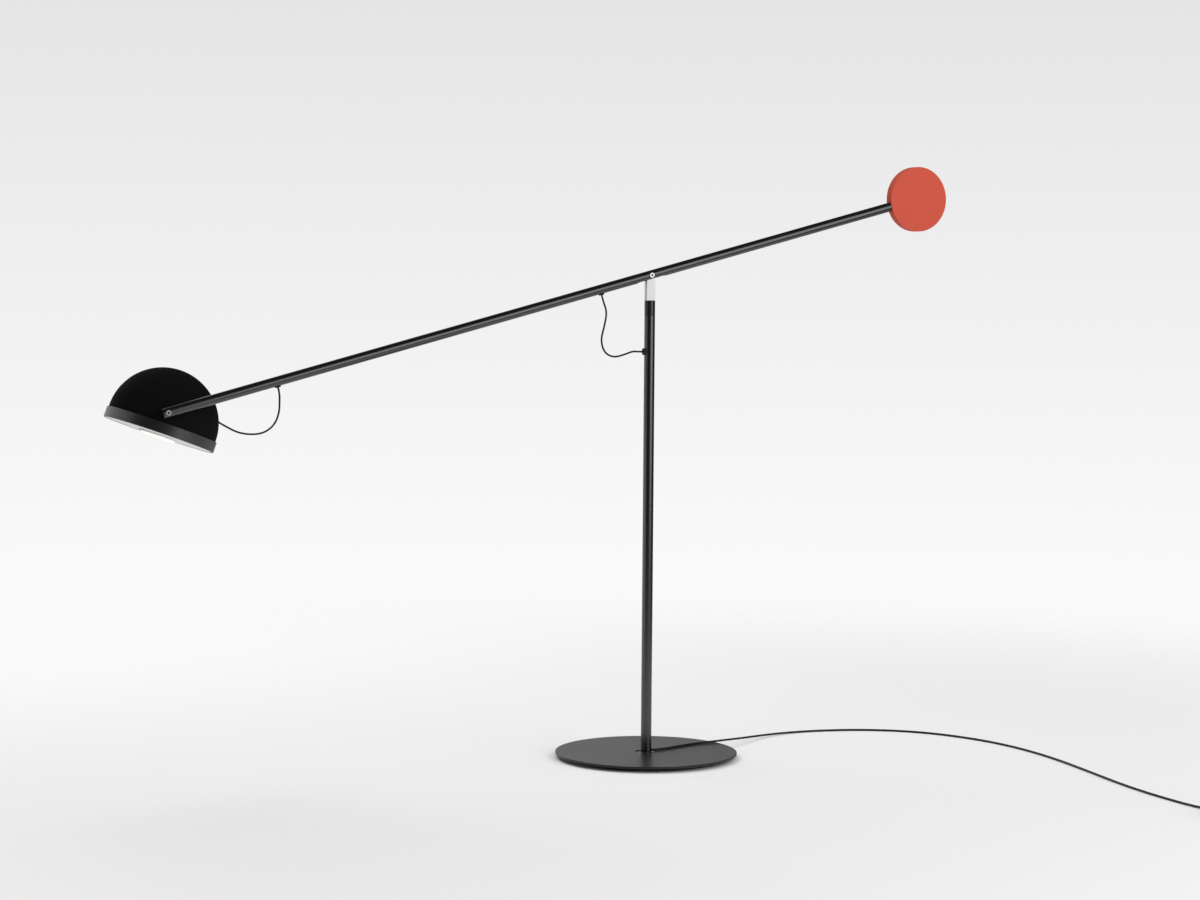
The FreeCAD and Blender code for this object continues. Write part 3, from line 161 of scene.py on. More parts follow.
def make_coat_grain():
    group = bpy.data.node_groups.new("coat grain", "ShaderNodeTree")
    group_socket(group, "Place", "NodeSocketVector", "INPUT")
    group_socket(group, "Colour", "NodeSocketColor", "INPUT", (0.02, 0.02, 0.02, 1))
    group_socket(group, "Grains per metre", "NodeSocketFloat", "INPUT", 2500.0)
    group_socket(group, "Roughness", "NodeSocketFloat", "INPUT", 0.4)
    group_socket(group, "Roughness spread", "NodeSocketFloat", "INPUT", 0.06)
    group_socket(group, "Shade spread", "NodeSocketFloat", "INPUT", 0.15)
    group_socket(group, "Colour", "NodeSocketColor", "OUTPUT")
    group_socket(group, "Roughness", "NodeSocketFloat", "OUTPUT")
    group_socket(group, "Height", "NodeSocketFloat", "OUTPUT")

    entry = add_node(group, "NodeGroupInput", (-900, 0))
    leave = add_node(group, "NodeGroupOutput", (500, 0))
    fine = add_node(group, "ShaderNodeTexNoise", (-600, -200), {"Detail": 2.0, "Roughness": 0.6})
    broad = add_node(group, "ShaderNodeTexNoise", (-600, 200), {"Scale": 9.0, "Detail": 3.0})
    mottle = add_node(group, "ShaderNodeMath", (-380, 240), {1: 0.5}, operation="SUBTRACT")
    rough_shift = add_node(group, "ShaderNodeMath", (-160, 120), operation="MULTIPLY")
    rough = add_node(group, "ShaderNodeMath", (60, 60), operation="ADD")
    shade_shift = add_node(group, "ShaderNodeMath", (-160, 320), operation="MULTIPLY")
    shade = add_node(group, "ShaderNodeMath", (40, 320), {1: 1.0}, operation="ADD")
    tint = add_node(group, "ShaderNodeVectorMath", (240, 260), operation="SCALE")
    link = group.links.new
    link(entry.outputs["Place"], fine.inputs["Vector"])
    link(entry.outputs["Place"], broad.inputs["Vector"])
    link(entry.outputs["Grains per metre"], fine.inputs["Scale"])
    link(broad.outputs["Fac"], mottle.inputs[0])
    link(mottle.outputs[0], rough_shift.inputs[0])
    link(entry.outputs["Roughness spread"], rough_shift.inputs[1])
    link(entry.outputs["Roughness"], rough.inputs[0])
    link(rough_shift.outputs[0], rough.inputs[1])
    link(mottle.outputs[0], shade_shift.inputs[0])
    link(entry.outputs["Shade spread"], shade_shift.inputs[1])
    link(shade_shift.outputs[0], shade.inputs[0])
    link(entry.outputs["Colour"], tint.inputs[0])
    link(shade.outputs[0], tint.inputs["Scale"])
    link(tint.outputs[0], leave.inputs["Colour"])
    link(rough.outputs[0], leave.inputs["Roughness"])
    link(fine.outputs["Fac"], leave.inputs["Height"])
    return group


coat_grain = make_coat_grain()
print("group:", coat_grain.name, [s.name for s in coat_grain.interface.items_tree])


# %% A coated material
def coated(name, colour, roughness, grains=2500.0, depth=0.1, shade=0.15, specular=0.5):
    """Painted, moulded or rubber surface: colour in linear light, grain depth from 0 to 1."""
    material, tree, shader, place = new_material(name)
    grain = add_node(tree, "ShaderNodeGroup", (-500, 0), node_tree=coat_grain)
    grain.inputs["Colour"].default_value = (*colour, 1)
    grain.inputs["Grains per metre"].default_value = grains
    grain.inputs["Roughness"].default_value = roughness
    grain.inputs["Shade spread"].default_value = shade
    bump = add_node(tree, "ShaderNodeBump", (0, -300), {"Strength": depth, "Distance": 0.0002})
    shader.inputs["Specular IOR Level"].default_value = specular
    link = tree.links.new
    link(place.outputs["Object"], grain.inputs["Place"])
    link(grain.outputs["Colour"], shader.inputs["Base Color"])
    link(grain.outputs["Roughness"], shader.inputs["Roughness"])
    link(grain.outputs["Height"], bump.inputs["Height"])
    link(bump.outputs["Normal"], shader.inputs["Normal"])
    return material


# %% [markdown]
# ## Shared effect: brushed metal
#
# The bright pieces are turned, milled or stamped. Their look is in very fine lines
# across the light, which a noise makes when its coordinates are squeezed along one
# direction. The group takes that stretch as an input, so one group serves the milled
# swivel, the screws and the heat sink.

# %% Build the brushed metal group
def make_brushed_lines():
    group = bpy.data.node_groups.new("brushed lines", "ShaderNodeTree")
    group_socket(group, "Place", "NodeSocketVector", "INPUT")
    group_socket(group, "Lines per metre", "NodeSocketVector", "INPUT", (3000.0, 3000.0, 60.0))
    group_socket(group, "Roughness", "NodeSocketFloat", "INPUT", 0.28)
    group_socket(group, "Spread", "NodeSocketFloat", "INPUT", 0.18)
    group_socket(group, "Roughness", "NodeSocketFloat", "OUTPUT")
    group_socket(group, "Height", "NodeSocketFloat", "OUTPUT")
    entry = add_node(group, "NodeGroupInput", (-900, 0))
    leave = add_node(group, "NodeGroupOutput", (300, 0))
    squeeze = add_node(group, "ShaderNodeVectorMath", (-680, 0), operation="MULTIPLY")
    lines = add_node(group, "ShaderNodeTexNoise", (-460, 0), {"Scale": 1.0, "Detail": 3.0})
    shift = add_node(group, "ShaderNodeMath", (-240, 80), {1: 0.5}, operation="SUBTRACT")
    scaled = add_node(group, "ShaderNodeMath", (-60, 80), operation="MULTIPLY")
    rough = add_node(group, "ShaderNodeMath", (120, 80), operation="ADD")
    link = group.links.new
    link(entry.outputs["Place"], squeeze.inputs[0])
    link(entry.outputs["Lines per metre"], squeeze.inputs[1])
    link(squeeze.outputs[0], lines.inputs["Vector"])
    link(lines.outputs["Fac"], shift.inputs[0])
    link(shift.outputs[0], scaled.inputs[0])
    link(entry.outputs["Spread"], scaled.inputs[1])
    link(scaled.outputs[0], rough.inputs[0])
    link(entry.outputs["Roughness"], rough.inputs[1])
    link(rough.outputs[0], leave.inputs["Roughness"])
    link(lines.outputs["Fac"], leave.inputs["Height"])
    return group


brushed_lines = make_brushed_lines()


def bright_metal(name, colour, roughness, lines=(3000.0, 3000.0, 60.0), depth=0.05):
    """Bare metal with fine lines across its widest stretch of light."""
    material, tree, shader, place = new_material(name)
    brushed = add_node(tree, "ShaderNodeGroup", (-500, 0), node_tree=brushed_lines)
    brushed.inputs["Lines per metre"].default_value = lines
    brushed.inputs["Roughness"].default_value = roughness
    bump = add_node(tree, "ShaderNodeBump", (0, -300), {"Strength": depth, "Distance": 0.0001})
    shader.inputs["Base Color"].default_value = (*colour, 1)
    shader.inputs["Metallic"].default_value = 1.0
    link = tree.links.new
    link(place.outputs["Object"], brushed.inputs["Place"])
    link(brushed.outputs["Roughness"], shader.inputs["Roughness"])
    link(brushed.outputs["Height"], bump.inputs["Height"])
    link(bump.outputs["Normal"], shader.inputs["Normal"])
    return material


# %% [markdown]
# ## The finishes
#
# The photograph shows three blacks. The stem, arm and rim ring are satin, with a bright
# line of light along them. The dome is so matte that it hardly shades. The base has
# the same satin coat as the stem, a little rougher. The disc is the one colour, an
# orange red under the same kind of satin coat.

# %% Coated finishes
satin_black = coated("satin black coat", (0.0055, 0.0055, 0.006), 0.22,
                     grains=3200.0, depth=0.04, specular=1.0)
base_black = coated("base coat", (0.010, 0.010, 0.011), 0.38, grains=2600.0, depth=0.12, specular=0.35)
ring_black = coated("ring coat", (0.010, 0.010, 0.011), 0.36, grains=3200.0, depth=0.05, specular=0.8)
dome_black = coated("dome matte coat", (0.0048, 0.0048, 0.005), 0.85,
                    grains=3800.0, depth=0.15, specular=0.06)
disc_red = coated("disc red coat", (0.572, 0.085, 0.052), 0.48,
                  grains=2800.0, depth=0.08, shade=0.06, specular=0.08)
rubber = coated("black rubber", (0.010, 0.010, 0.010), 0.65, grains=2200.0, depth=0.2, specular=0.25)
sheath = coated("cord sheath", (0.008, 0.008, 0.009), 0.50, grains=1800.0, depth=0.08, specular=0.3)
nylon = coated("dark nylon", (0.022, 0.022, 0.022), 0.5, grains=1500.0, depth=0.1)
plastic = coated("moulded black plastic", (0.016, 0.016, 0.017), 0.48, grains=1700.0, depth=0.3)
rocker_black = coated("rocker plastic", (0.018, 0.018, 0.018), 0.24, grains=900.0, depth=0.04)
reflector_white = coated("reflector white", (0.80, 0.80, 0.80), 0.55,
                         grains=2000.0, depth=0.05, shade=0.03)
board_white = coated("board solder mask", (0.70, 0.72, 0.70), 0.35,
                     grains=1500.0, depth=0.06, shade=0.05)

# %% [markdown]
# The small fittings are bare: steel screws and nuts, an aluminium heat sink and the
# brass terminals of the switch. They share the brushed group and differ in colour,
# roughness and the direction of their lines. The sink is blasted, so its lines are
# as short as they are wide.

# %% Bare metals
steel = bright_metal("bright steel", (0.50, 0.50, 0.51), 0.28)
aluminium = bright_metal("bare aluminium", (0.62, 0.62, 0.64), 0.36, lines=(900.0, 900.0, 900.0))
brass = bright_metal("brass", (0.78, 0.57, 0.25), 0.3)


# %% [markdown]
# The swivel head is one turned piece with two finishes: its lower post is blackened like
# the stem, and its two milled flats above are bare. The bright part starts at a sharp
# shoulder, so a step on the Object coordinates' height paints the two. A screw's hexagon
# socket is a deep hole that light hardly reaches, and that shade is painted: the screws
# turn near black inside a small radius from their axis.

# %% Two finishes on one piece, and painted shade in screw sockets
FLATS_LOW = 0.603
PIVOT_Z = 0.636
HINGE_XZ = (-0.648738, 0.464596)
SOCKET_RADIUS = 0.0015
# Painted shade for the inside of a screw's socket, not a colour of the steel.
SOCKET_PAINTED_SHADE = (0.012, 0.012, 0.012)


def two_tone_or_shaded_metal(name, mask_of, bright, dark, bright_rough, dark_rough):
    """Metal that turns from a dark finish, or painted shade, to a bright one where a mask is 1."""
    material, tree, shader, place = new_material(name)
    mask = mask_of(tree, place)
    brushed = add_node(tree, "ShaderNodeGroup", (-500, -200), node_tree=brushed_lines)
    brushed.inputs["Lines per metre"].default_value = (3000.0, 3000.0, 60.0)
    brushed.inputs["Roughness"].default_value = bright_rough
    tone = add_node(tree, "ShaderNodeMix", (-200, 200), data_type="RGBA")
    tone.inputs["A"].default_value = (*dark, 1)
    tone.inputs["B"].default_value = (*bright, 1)
    rough = add_node(tree, "ShaderNodeMix", (-200, 0), {"A": dark_rough}, data_type="FLOAT")
    link = tree.links.new
    link(place.outputs["Object"], brushed.inputs["Place"])
    link(mask, tone.inputs["Factor"])
    link(mask, rough.inputs["Factor"])
    link(mask, shader.inputs["Metallic"])
    link(brushed.outputs["Roughness"], rough.inputs["B"])
    link(tone.outputs["Result"], shader.inputs["Base Color"])
    link(rough.outputs["Result"], shader.inputs["Roughness"])
    return material


def above(height):
    """Mask that is 1 above a height."""
    def build(tree, place):
        apart = add_node(tree, "ShaderNodeSeparateXYZ", (-800, 300))
        step = add_node(tree, "ShaderNodeMath", (-600, 300), {1: height}, operation="GREATER_THAN")
        tree.links.new(place.outputs["Object"], apart.inputs[0])
        tree.links.new(apart.outputs["Z"], step.inputs[0])
        return step.outputs[0]
    return build


def outside_socket_shade(x, z):
    """Mask that is 0 inside the socket of a screw along Y through (x, z), where shade is painted."""
    def build(tree, place):
        flat = add_node(tree, "ShaderNodeVectorMath", (-1000, 300), {1: (1, 0, 1)}, operation="MULTIPLY")
        away = add_node(tree, "ShaderNodeVectorMath", (-800, 300), {1: (x, 0, z)}, operation="DISTANCE")
        step = add_node(tree, "ShaderNodeMath", (-600, 300), {1: SOCKET_RADIUS}, operation="GREATER_THAN")
        tree.links.new(place.outputs["Object"], flat.inputs[0])
        tree.links.new(flat.outputs[0], away.inputs[0])
        tree.links.new(away.outputs["Value"], step.inputs[0])
        return step.outputs[0]
    return build


swivel_metal = two_tone_or_shaded_metal("swivel metal", above(FLATS_LOW),
                              (0.41, 0.41, 0.415), (0.010, 0.010, 0.011), 0.30, 0.22)
# The two screws get painted shade inside SOCKET_RADIUS of their axis, standing in for their dark sockets.
pivot_steel = two_tone_or_shaded_metal("pivot screw steel", outside_socket_shade(0.0, PIVOT_Z),
                             (0.50, 0.50, 0.51), SOCKET_PAINTED_SHADE, 0.28, 0.6)
hinge_steel = two_tone_or_shaded_metal("hinge screw steel", outside_socket_shade(*HINGE_XZ),
                             (0.30, 0.30, 0.31), SOCKET_PAINTED_SHADE, 0.30, 0.6)
print("two-tone metals:", swivel_metal.name, pivot_steel.name, hinge_steel.name)

# %% [markdown]
# ## The lit lens
#
# The lamp is switched on, low. Its lens glows warm white, with a yellow spot in the
# middle where the emitter sits close behind it. The distance from the shade's axis
# blends the two colours. The shade leans, so the axis is given as a point and a
# direction, and the length of their cross product is the distance from it.

# %% The lens
SHADE_CENTRE = Vector((-0.6325556, 0.0777, 0.4481413))
SHADE_AXIS = (0.33874, 0.0, 0.94088)
SPOT_R = 0.004
SPOT_FADE_R = 0.009
SPOT_YELLOW = (1.0, 0.66, 0.13, 1)
LENS_WARM_WHITE = (1.0, 0.90, 0.74, 1)
LENS_GLOW = 0.78


def make_lens():
    material, tree, shader, place = new_material("lit lens")
    offset = add_node(tree, "ShaderNodeVectorMath", (-700, 0), {1: SHADE_CENTRE}, operation="SUBTRACT")
    cross = add_node(tree, "ShaderNodeVectorMath", (-540, 0), {1: SHADE_AXIS}, operation="CROSS_PRODUCT")
    away = add_node(tree, "ShaderNodeVectorMath", (-380, 0), operation="LENGTH")
    spot = add_node(tree, "ShaderNodeMapRange", (-220, 0), {"From Min": SPOT_R, "From Max": SPOT_FADE_R})
    glow = add_node(tree, "ShaderNodeMix", (0, -100), data_type="RGBA")
    glow.inputs["A"].default_value = SPOT_YELLOW
    glow.inputs["B"].default_value = LENS_WARM_WHITE
    shader.inputs["Base Color"].default_value = (0.30, 0.30, 0.29, 1)
    shader.inputs["Roughness"].default_value = 0.12
    shader.inputs["Emission Strength"].default_value = LENS_GLOW
    link = tree.links.new
    link(place.outputs["Object"], offset.inputs[0])
    link(offset.outputs[0], cross.inputs[0])
    link(cross.outputs[0], away.inputs[0])
    link(away.outputs["Value"], spot.inputs["Value"])
    link(spot.outputs["Result"], glow.inputs["Factor"])
    link(glow.outputs["Result"], shader.inputs["Emission Color"])
    return material


lit_lens = make_lens()
emitter_yellow = coated("emitter phosphor", (0.90, 0.62, 0.10), 0.6, grains=4000.0, depth=0.05)

# %% [markdown]
# ## Dressing the frame
#
# Each piece of the frame has one finish, so a table from finish to pieces says it all.
# A loop then puts the material in the piece's slot.

# %% Show which finish each piece of the frame takes
FINISHES = {
    satin_black: ["stem_tube", "arm_tube", "hinge_boss", "end_plug"],
    base_black: ["base_plate", "base_weight"],
    ring_black: ["rim_ring"],
    dome_black: ["dome"],
    disc_red: ["counterweight_disc"],
    rubber: ["base_pad", "foot_grommet", "stem_grommet", "arm_grommets", "dome_grommet", "hinge_pad"],
    sheath: ["stem_cable", "arm_cable", "dome_cable", "switch_reliefs", "adapter_relief",
             "cord_flex", "cord_coil", "jumper_stem_arm", "jumper_arm_shade"],
    nylon: ["swivel_bush", "seam_washer", "friction_pads", "hinge_washer", "coil_tie"],
    plastic: ["switch_base", "switch_cover", "adapter_base", "adapter_cover"],
    rocker_black: ["switch_rocker"],
    reflector_white: ["reflector", "lens_holder"],
    board_white: ["led_board", "driver_board", "adapter_board"],
    steel: ["foot_insert", "plate_screws", "stem_bolt", "stem_foot", "retaining_clip",
            "spring_washer", "pivot_nut", "tail_stud", "grub_screw", "hinge_nut",
            "carrier_screws", "adapter_pins"],
    swivel_metal: ["swivel_head"],
    pivot_steel: ["pivot_screw"],
    hinge_steel: ["hinge_screw"],
    lit_lens: ["lens"],
    emitter_yellow: ["led_emitter"],
    aluminium: ["led_carrier", "heat_sink"],
    brass: ["switch_block"],
}
for material, names in FINISHES.items():
    for name in names:
        finish_piece(nodes[name], material)
print("finishes:", len(FINISHES), "for pieces:", sum(len(names) for names in FINISHES.values()))

# %% [markdown]
# ## The cords
#
# A cord is a fixed length of something flexible. Its line is a NURBS spline through
# control points: straight out of the stem's foot, over the base's edge,
# down to the table, and away in one wide bend. What the photograph doesn't show is put
# away just outside the view: an in-line switch, a neat tied coil and a plug-in adapter.

# %% Sizes of the cords, in metres
FLEX_D = 0.0028
JUMPER_D = 0.0024
EXIT_OUT = 0.0082
EXIT_Z = 0.0096
BASE_TURN = math.radians(-12.0)
BASE_DIR = Vector((math.cos(BASE_TURN), math.sin(BASE_TURN), 0))
TABLE_Z = 0.0015
SWITCH_NEAR = Vector((0.460, -0.608, 0.003))
SWITCH_FAR = Vector((0.460, -0.676, 0.003))

# %% [markdown]
# ## Ribs on the strain reliefs
#
# A strain relief is moulded with rings round it, so that the flex bends a little at each
# and never folds at one place. Rings that repeat along a line are work for Geometry
# Nodes: a line of points, a ring on each, and a size that grows with the relief's taper.
# The tree's inputs are its sizes, so the switch's short reliefs and the adapter's long
# one share it.

# %% Build the rib tree
RELIEF_TIP_R = 0.0018
RELIEF_TAPER = 0.1
RIB_FIRST = 0.0014
RIB_PITCH = 0.0018
RIB_R = 0.00035


def make_rib_tree(material):
    tree = bpy.data.node_groups.new("relief ribs", "GeometryNodeTree")
    group_socket(tree, "Start", "NodeSocketVector", "INPUT")
    group_socket(tree, "Step", "NodeSocketVector", "INPUT")
    group_socket(tree, "Ribs", "NodeSocketInt", "INPUT", 4)
    group_socket(tree, "First radius", "NodeSocketFloat", "INPUT", 0.002)
    group_socket(tree, "Growth", "NodeSocketFloat", "INPUT", 0.1)
    group_socket(tree, "Rib radius", "NodeSocketFloat", "INPUT", RIB_R)
    group_socket(tree, "Geometry", "NodeSocketGeometry", "OUTPUT")
    entry = add_node(tree, "NodeGroupInput", (-900, 0))
    leave = add_node(tree, "NodeGroupOutput", (900, 0))
    line = add_node(tree, "GeometryNodeMeshLine", (-500, 300), mode="OFFSET")
    ring = add_node(tree, "GeometryNodeCurvePrimitiveCircle", (-500, 0), {"Resolution": 40})
    section = add_node(tree, "GeometryNodeCurvePrimitiveCircle", (-500, -200), {"Resolution": 10})
    rib = add_node(tree, "GeometryNodeCurveToMesh", (-250, 0))
    facing = add_node(tree, "FunctionNodeAlignRotationToVector", (-250, -250), axis="Z")
    number = add_node(tree, "GeometryNodeInputIndex", (-500, -450))
    grow = add_node(tree, "ShaderNodeMath", (-250, -450), operation="MULTIPLY")
    size = add_node(tree, "ShaderNodeMath", (0, -450), {1: 1.0}, operation="ADD")
    place = add_node(tree, "GeometryNodeInstanceOnPoints", (100, 100))
    real = add_node(tree, "GeometryNodeRealizeInstances", (300, 100))
    smooth = add_node(tree, "GeometryNodeSetShadeSmooth", (480, 100))
    coat = add_node(tree, "GeometryNodeSetMaterial", (680, 100), {"Material": material})
    link = tree.links.new
    link(entry.outputs["Ribs"], line.inputs["Count"])
    link(entry.outputs["Start"], line.inputs["Start Location"])
    link(entry.outputs["Step"], line.inputs["Offset"])
    link(entry.outputs["First radius"], ring.inputs["Radius"])
    link(entry.outputs["Rib radius"], section.inputs["Radius"])
    link(ring.outputs["Curve"], rib.inputs["Curve"])
    link(section.outputs["Curve"], rib.inputs["Profile Curve"])
    link(entry.outputs["Step"], facing.inputs["Vector"])
    link(number.outputs["Index"], grow.inputs[0])
    link(entry.outputs["Growth"], grow.inputs[1])
    link(grow.outputs[0], size.inputs[0])
    link(line.outputs["Mesh"], place.inputs["Points"])
    link(rib.outputs["Mesh"], place.inputs["Instance"])
    link(facing.outputs["Rotation"], place.inputs["Rotation"])
    link(size.outputs[0], place.inputs["Scale"])
    link(place.outputs["Instances"], real.inputs["Geometry"])
    link(real.outputs["Geometry"], smooth.inputs["Geometry"])
    link(smooth.outputs["Geometry"], coat.inputs["Geometry"])
    link(coat.outputs["Geometry"], leave.inputs["Geometry"])
    return tree


rib_tree = make_rib_tree(sheath)
print("tree:", rib_tree.name, [s.name for s in rib_tree.interface.items_tree])


# %% Ribs round one relief
def relief_ribs(name, tip, along, count):
    """Ribs round a strain relief that widens from its tip along a direction."""
    first_r = RELIEF_TIP_R + RELIEF_TAPER * RIB_FIRST
    values = {"Start": tuple(tip + along * RIB_FIRST), "Step": tuple(along * RIB_PITCH), "Ribs": count,
              "First radius": first_r, "Growth": RELIEF_TAPER * RIB_PITCH / first_r, "Rib radius": RIB_R}
    ribs = bpy.data.objects.new(name, bpy.data.meshes.new(name + "_empty"))
    bpy.context.scene.collection.objects.link(ribs)
    modifier = ribs.modifiers.new("ribs", "NODES")
    modifier.node_group = rib_tree
    for item in rib_tree.interface.items_tree:
        if item.in_out == "INPUT":
            modifier[item.identifier] = values[item.name]
    bpy.context.view_layer.update()
    made = bpy.data.meshes.new_from_object(ribs.evaluated_get(bpy.context.evaluated_depsgraph_get()))
    ribs.modifiers.remove(modifier)
    shape = bmesh.new()
    shape.from_mesh(made)
    bmesh.ops.recalc_face_normals(shape, faces=shape.faces)
    shape.to_mesh(made)
    shape.free()
    ribs.data = made
    finish_piece(ribs, sheath)
    for face in made.polygons:
        face.material_index = 0
    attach(ribs, "stand")
    print(name, "faces:", len(made.polygons), "materials:", len(made.materials))
    return ribs


near_ribs = relief_ribs("ribs_switch_near", SWITCH_NEAR, Vector((0, -1, 0)), 4)
far_ribs = relief_ribs("ribs_switch_far", SWITCH_FAR, Vector((0, 1, 0)), 4)

# %% [markdown]
# ## Round cords
#
# A round cord needs only its line: the curve's bevel gives it thickness. A NURBS spline
# is pulled towards its control points without passing through them, which bends as
# evenly as a real cord. Its order is set after the points, or it stays at straight runs.

# %% A cord as a curve of one NURBS spline
def nurbs_line(name, points):
    """A curve object whose single spline has these control points."""
    curve = bpy.data.curves.new(name, "CURVE")
    curve.dimensions = "3D"
    curve.resolution_u = 12
    spline = curve.splines.new("NURBS")
    spline.points.add(len(points) - 1)
    for target, point in zip(spline.points, points):
        target.co = (*point, 1)
    spline.order_u = 3
    spline.use_endpoint_u = True
    line = bpy.data.objects.new(name, curve)
    bpy.context.scene.collection.objects.link(line)
    return line


def round_cord(name, points, diameter, material):
    """A round cord along a NURBS spline."""
    cord = nurbs_line(name, points)
    cord.data.bevel_depth = diameter / 2
    cord.data.bevel_resolution = 5
    cord.data.use_fill_caps = True
    finish_piece(cord, material)
    return cord


# %% [markdown]
# ## The flex
#
# The flex leaves the stem's foot level with the recess, lies on the base, steps down
# over its edge and then rests on the table. The points below are the corners of that
# route. The spline rounds them off, so they lie a little outside the flex they shape.

# %% The flex from the stem to the switch
FLEX_ROUTE = [
    (0.0310, 0.0010, 0.0095), (0.0530, 0.0095, 0.0095), (0.0860, 0.0205, 0.0095),
    (0.1080, 0.0225, 0.0097), (0.1280, 0.0250, 0.0101), (0.1520, 0.0360, 0.0086), (0.1820, 0.0550, 0.0059),
    (0.2160, 0.0740, 0.0036), (0.2500, 0.0870, 0.0021), (0.2880, 0.0915, TABLE_Z),
    (0.3280, 0.0860, TABLE_Z), (0.3690, 0.0737, TABLE_Z), (0.4080, 0.0510, TABLE_Z),
    (0.4400, 0.0200, TABLE_Z), (0.4660, -0.0240, TABLE_Z), (0.4840, -0.0760, TABLE_Z),
    (0.4925, -0.1300, TABLE_Z), (0.4935, -0.1870, TABLE_Z), (0.4890, -0.2450, TABLE_Z),
    (0.4810, -0.3020, TABLE_Z), (0.4720, -0.3590, TABLE_Z), (0.4635, -0.4160, TABLE_Z),
    (0.4585, -0.4730, TABLE_Z), (0.4574, -0.5270, TABLE_Z), (0.4584, -0.5560, TABLE_Z),
    (0.4596, -0.5780, 0.0020),
]
STEM_RUN = 0.008
SWITCH_RUN = 0.012
flex_exit = BASE_DIR * EXIT_OUT + Vector((0, 0, EXIT_Z))
flex_points = [flex_exit, flex_exit + BASE_DIR * STEM_RUN]
flex_points += [Vector(point) for point in FLEX_ROUTE]
flex_points += [SWITCH_NEAR + Vector((0, SWITCH_RUN, 0)), SWITCH_NEAR]
flex = round_cord("flex", flex_points, FLEX_D, sheath)
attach(flex, "stand")
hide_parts("cord_flex")
print("flex control points:", len(flex_points))

# %% [markdown]
# ## The coil
#
# A spare length is wound up: inwards in one layer and outwards again on top of it, as a
# hand does, so that both ends come out at the rim. A formula gives the spline's points,
# sixteen to a turn, with the climb to the upper layer at the narrowest place.

# %% The put-away coil
COIL_MIN_R = 0.011
COIL_PITCH = 0.0033
COIL_TURNS = 3.125
COIL_LOW = 0.00225
COIL_LEAD = 0.016
COIL_OUT = 0.018
POINTS_PER_TURN = 16
coil_outer_r = COIL_MIN_R + COIL_PITCH * COIL_TURNS
coil_centre = Vector((SWITCH_FAR.x + coil_outer_r, SWITCH_FAR.y - COIL_LEAD, 0))


def coil_point(turn):
    """Inwards in the lower layer, up where the spiral reverses, and outwards above it."""
    radius = COIL_MIN_R + COIL_PITCH * abs(turn)
    angle = math.pi + 2 * math.pi * (turn + COIL_TURNS)
    climb = min(max(2 * turn + 0.5, 0), 1)
    climb = climb * climb * (3 - 2 * climb)
    around = Vector((math.cos(angle), math.sin(angle), 0)) * radius
    return coil_centre + around + Vector((0, 0, COIL_LOW + COIL_PITCH * climb))


steps = round(2 * COIL_TURNS * POINTS_PER_TURN)
coil_points = [SWITCH_FAR, SWITCH_FAR - Vector((0, FLEX_D, 0))]
coil_points += [coil_point(-COIL_TURNS + 2 * COIL_TURNS * k / steps) for k in range(steps + 1)]
coil_leave = coil_points[-1]
coil_end = Vector((coil_centre.x + COIL_OUT, coil_leave.y, coil_leave.z))
coil_points += [coil_end - Vector((FLEX_D, 0, 0)), coil_end]
coil = round_cord("flex_coil", coil_points, FLEX_D, sheath)
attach(coil, "stand")
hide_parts("cord_coil")
adapter_pieces = [nodes[n] for n in ("adapter_base", "adapter_cover", "adapter_board", "adapter_pins",
                                     "adapter_relief", "coil_tie")]
adapter_pieces += [far_ribs, relief_ribs("ribs_adapter", coil_end, Vector((1, 0, 0)), 6)]
print("coil control points:", len(coil_points), "end", tuple(round(x, 4) for x in coil_end))

# %% [markdown]
# ## The jumpers
#
# Two short leads hang in free loops: one from the stem to the arm, past the swivel and
# the pivot, and one from the arm to the dome, past the shade's hinge. Each is a mesh
# tube. The first one crosses two joints and is made as two tubes that meet at the
# lowest point of the loop.

# %% Sizes of the jumpers, in metres
PIVOT = Vector((0, 0, PIVOT_Z))
ARM_TILT = math.radians(14.8)
ARM_RIGHT = Vector((math.cos(ARM_TILT), 0, math.sin(ARM_TILT)))
ARM_DOWN = Vector((math.sin(ARM_TILT), 0, -math.cos(ARM_TILT)))
ARM_GROMMET_END = 0.0074
ARM_GROMMET_NEAR = 0.074
ARM_GROMMET_FAR = 0.528
STEM_GROMMET_TIP = Vector((-0.009, 0, 0.536))
SHADE_TILT = math.radians(19.8)
NIPPLE_ELEVATION = math.radians(24.0)
NIPPLE_TURN = math.radians(35.0)
NIPPLE_TIP = 0.073
ARM_RUN = 0.008
STEM_GROMMET_RUN = 0.007
NIPPLE_RUN = 0.008


def arm_grommet_tip(reach):
    return PIVOT - ARM_RIGHT * reach + ARM_DOWN * ARM_GROMMET_END


# %% [markdown]
# A curve's bevel can't be blended between two bodies, so a jumper's line is read from
# its spline as points, and a ring of vertices is set square to the line at each. Every
# ring carries its sideways direction on from the last one, so the tube doesn't twist.

# %% A tube of rings along points
RING_SIDES = 20


def spline_points(name, controls):
    """Points along a NURBS spline through these controls."""
    line = nurbs_line(name, controls)
    bpy.context.view_layer.update()
    depsgraph = bpy.context.evaluated_depsgraph_get()
    mesh = bpy.data.meshes.new_from_object(line.evaluated_get(depsgraph))
    points = [vertex.co.copy() for vertex in mesh.vertices]
    bpy.data.meshes.remove(mesh)
    curve = line.data
    bpy.data.objects.remove(line)
    bpy.data.curves.remove(curve)
    return points


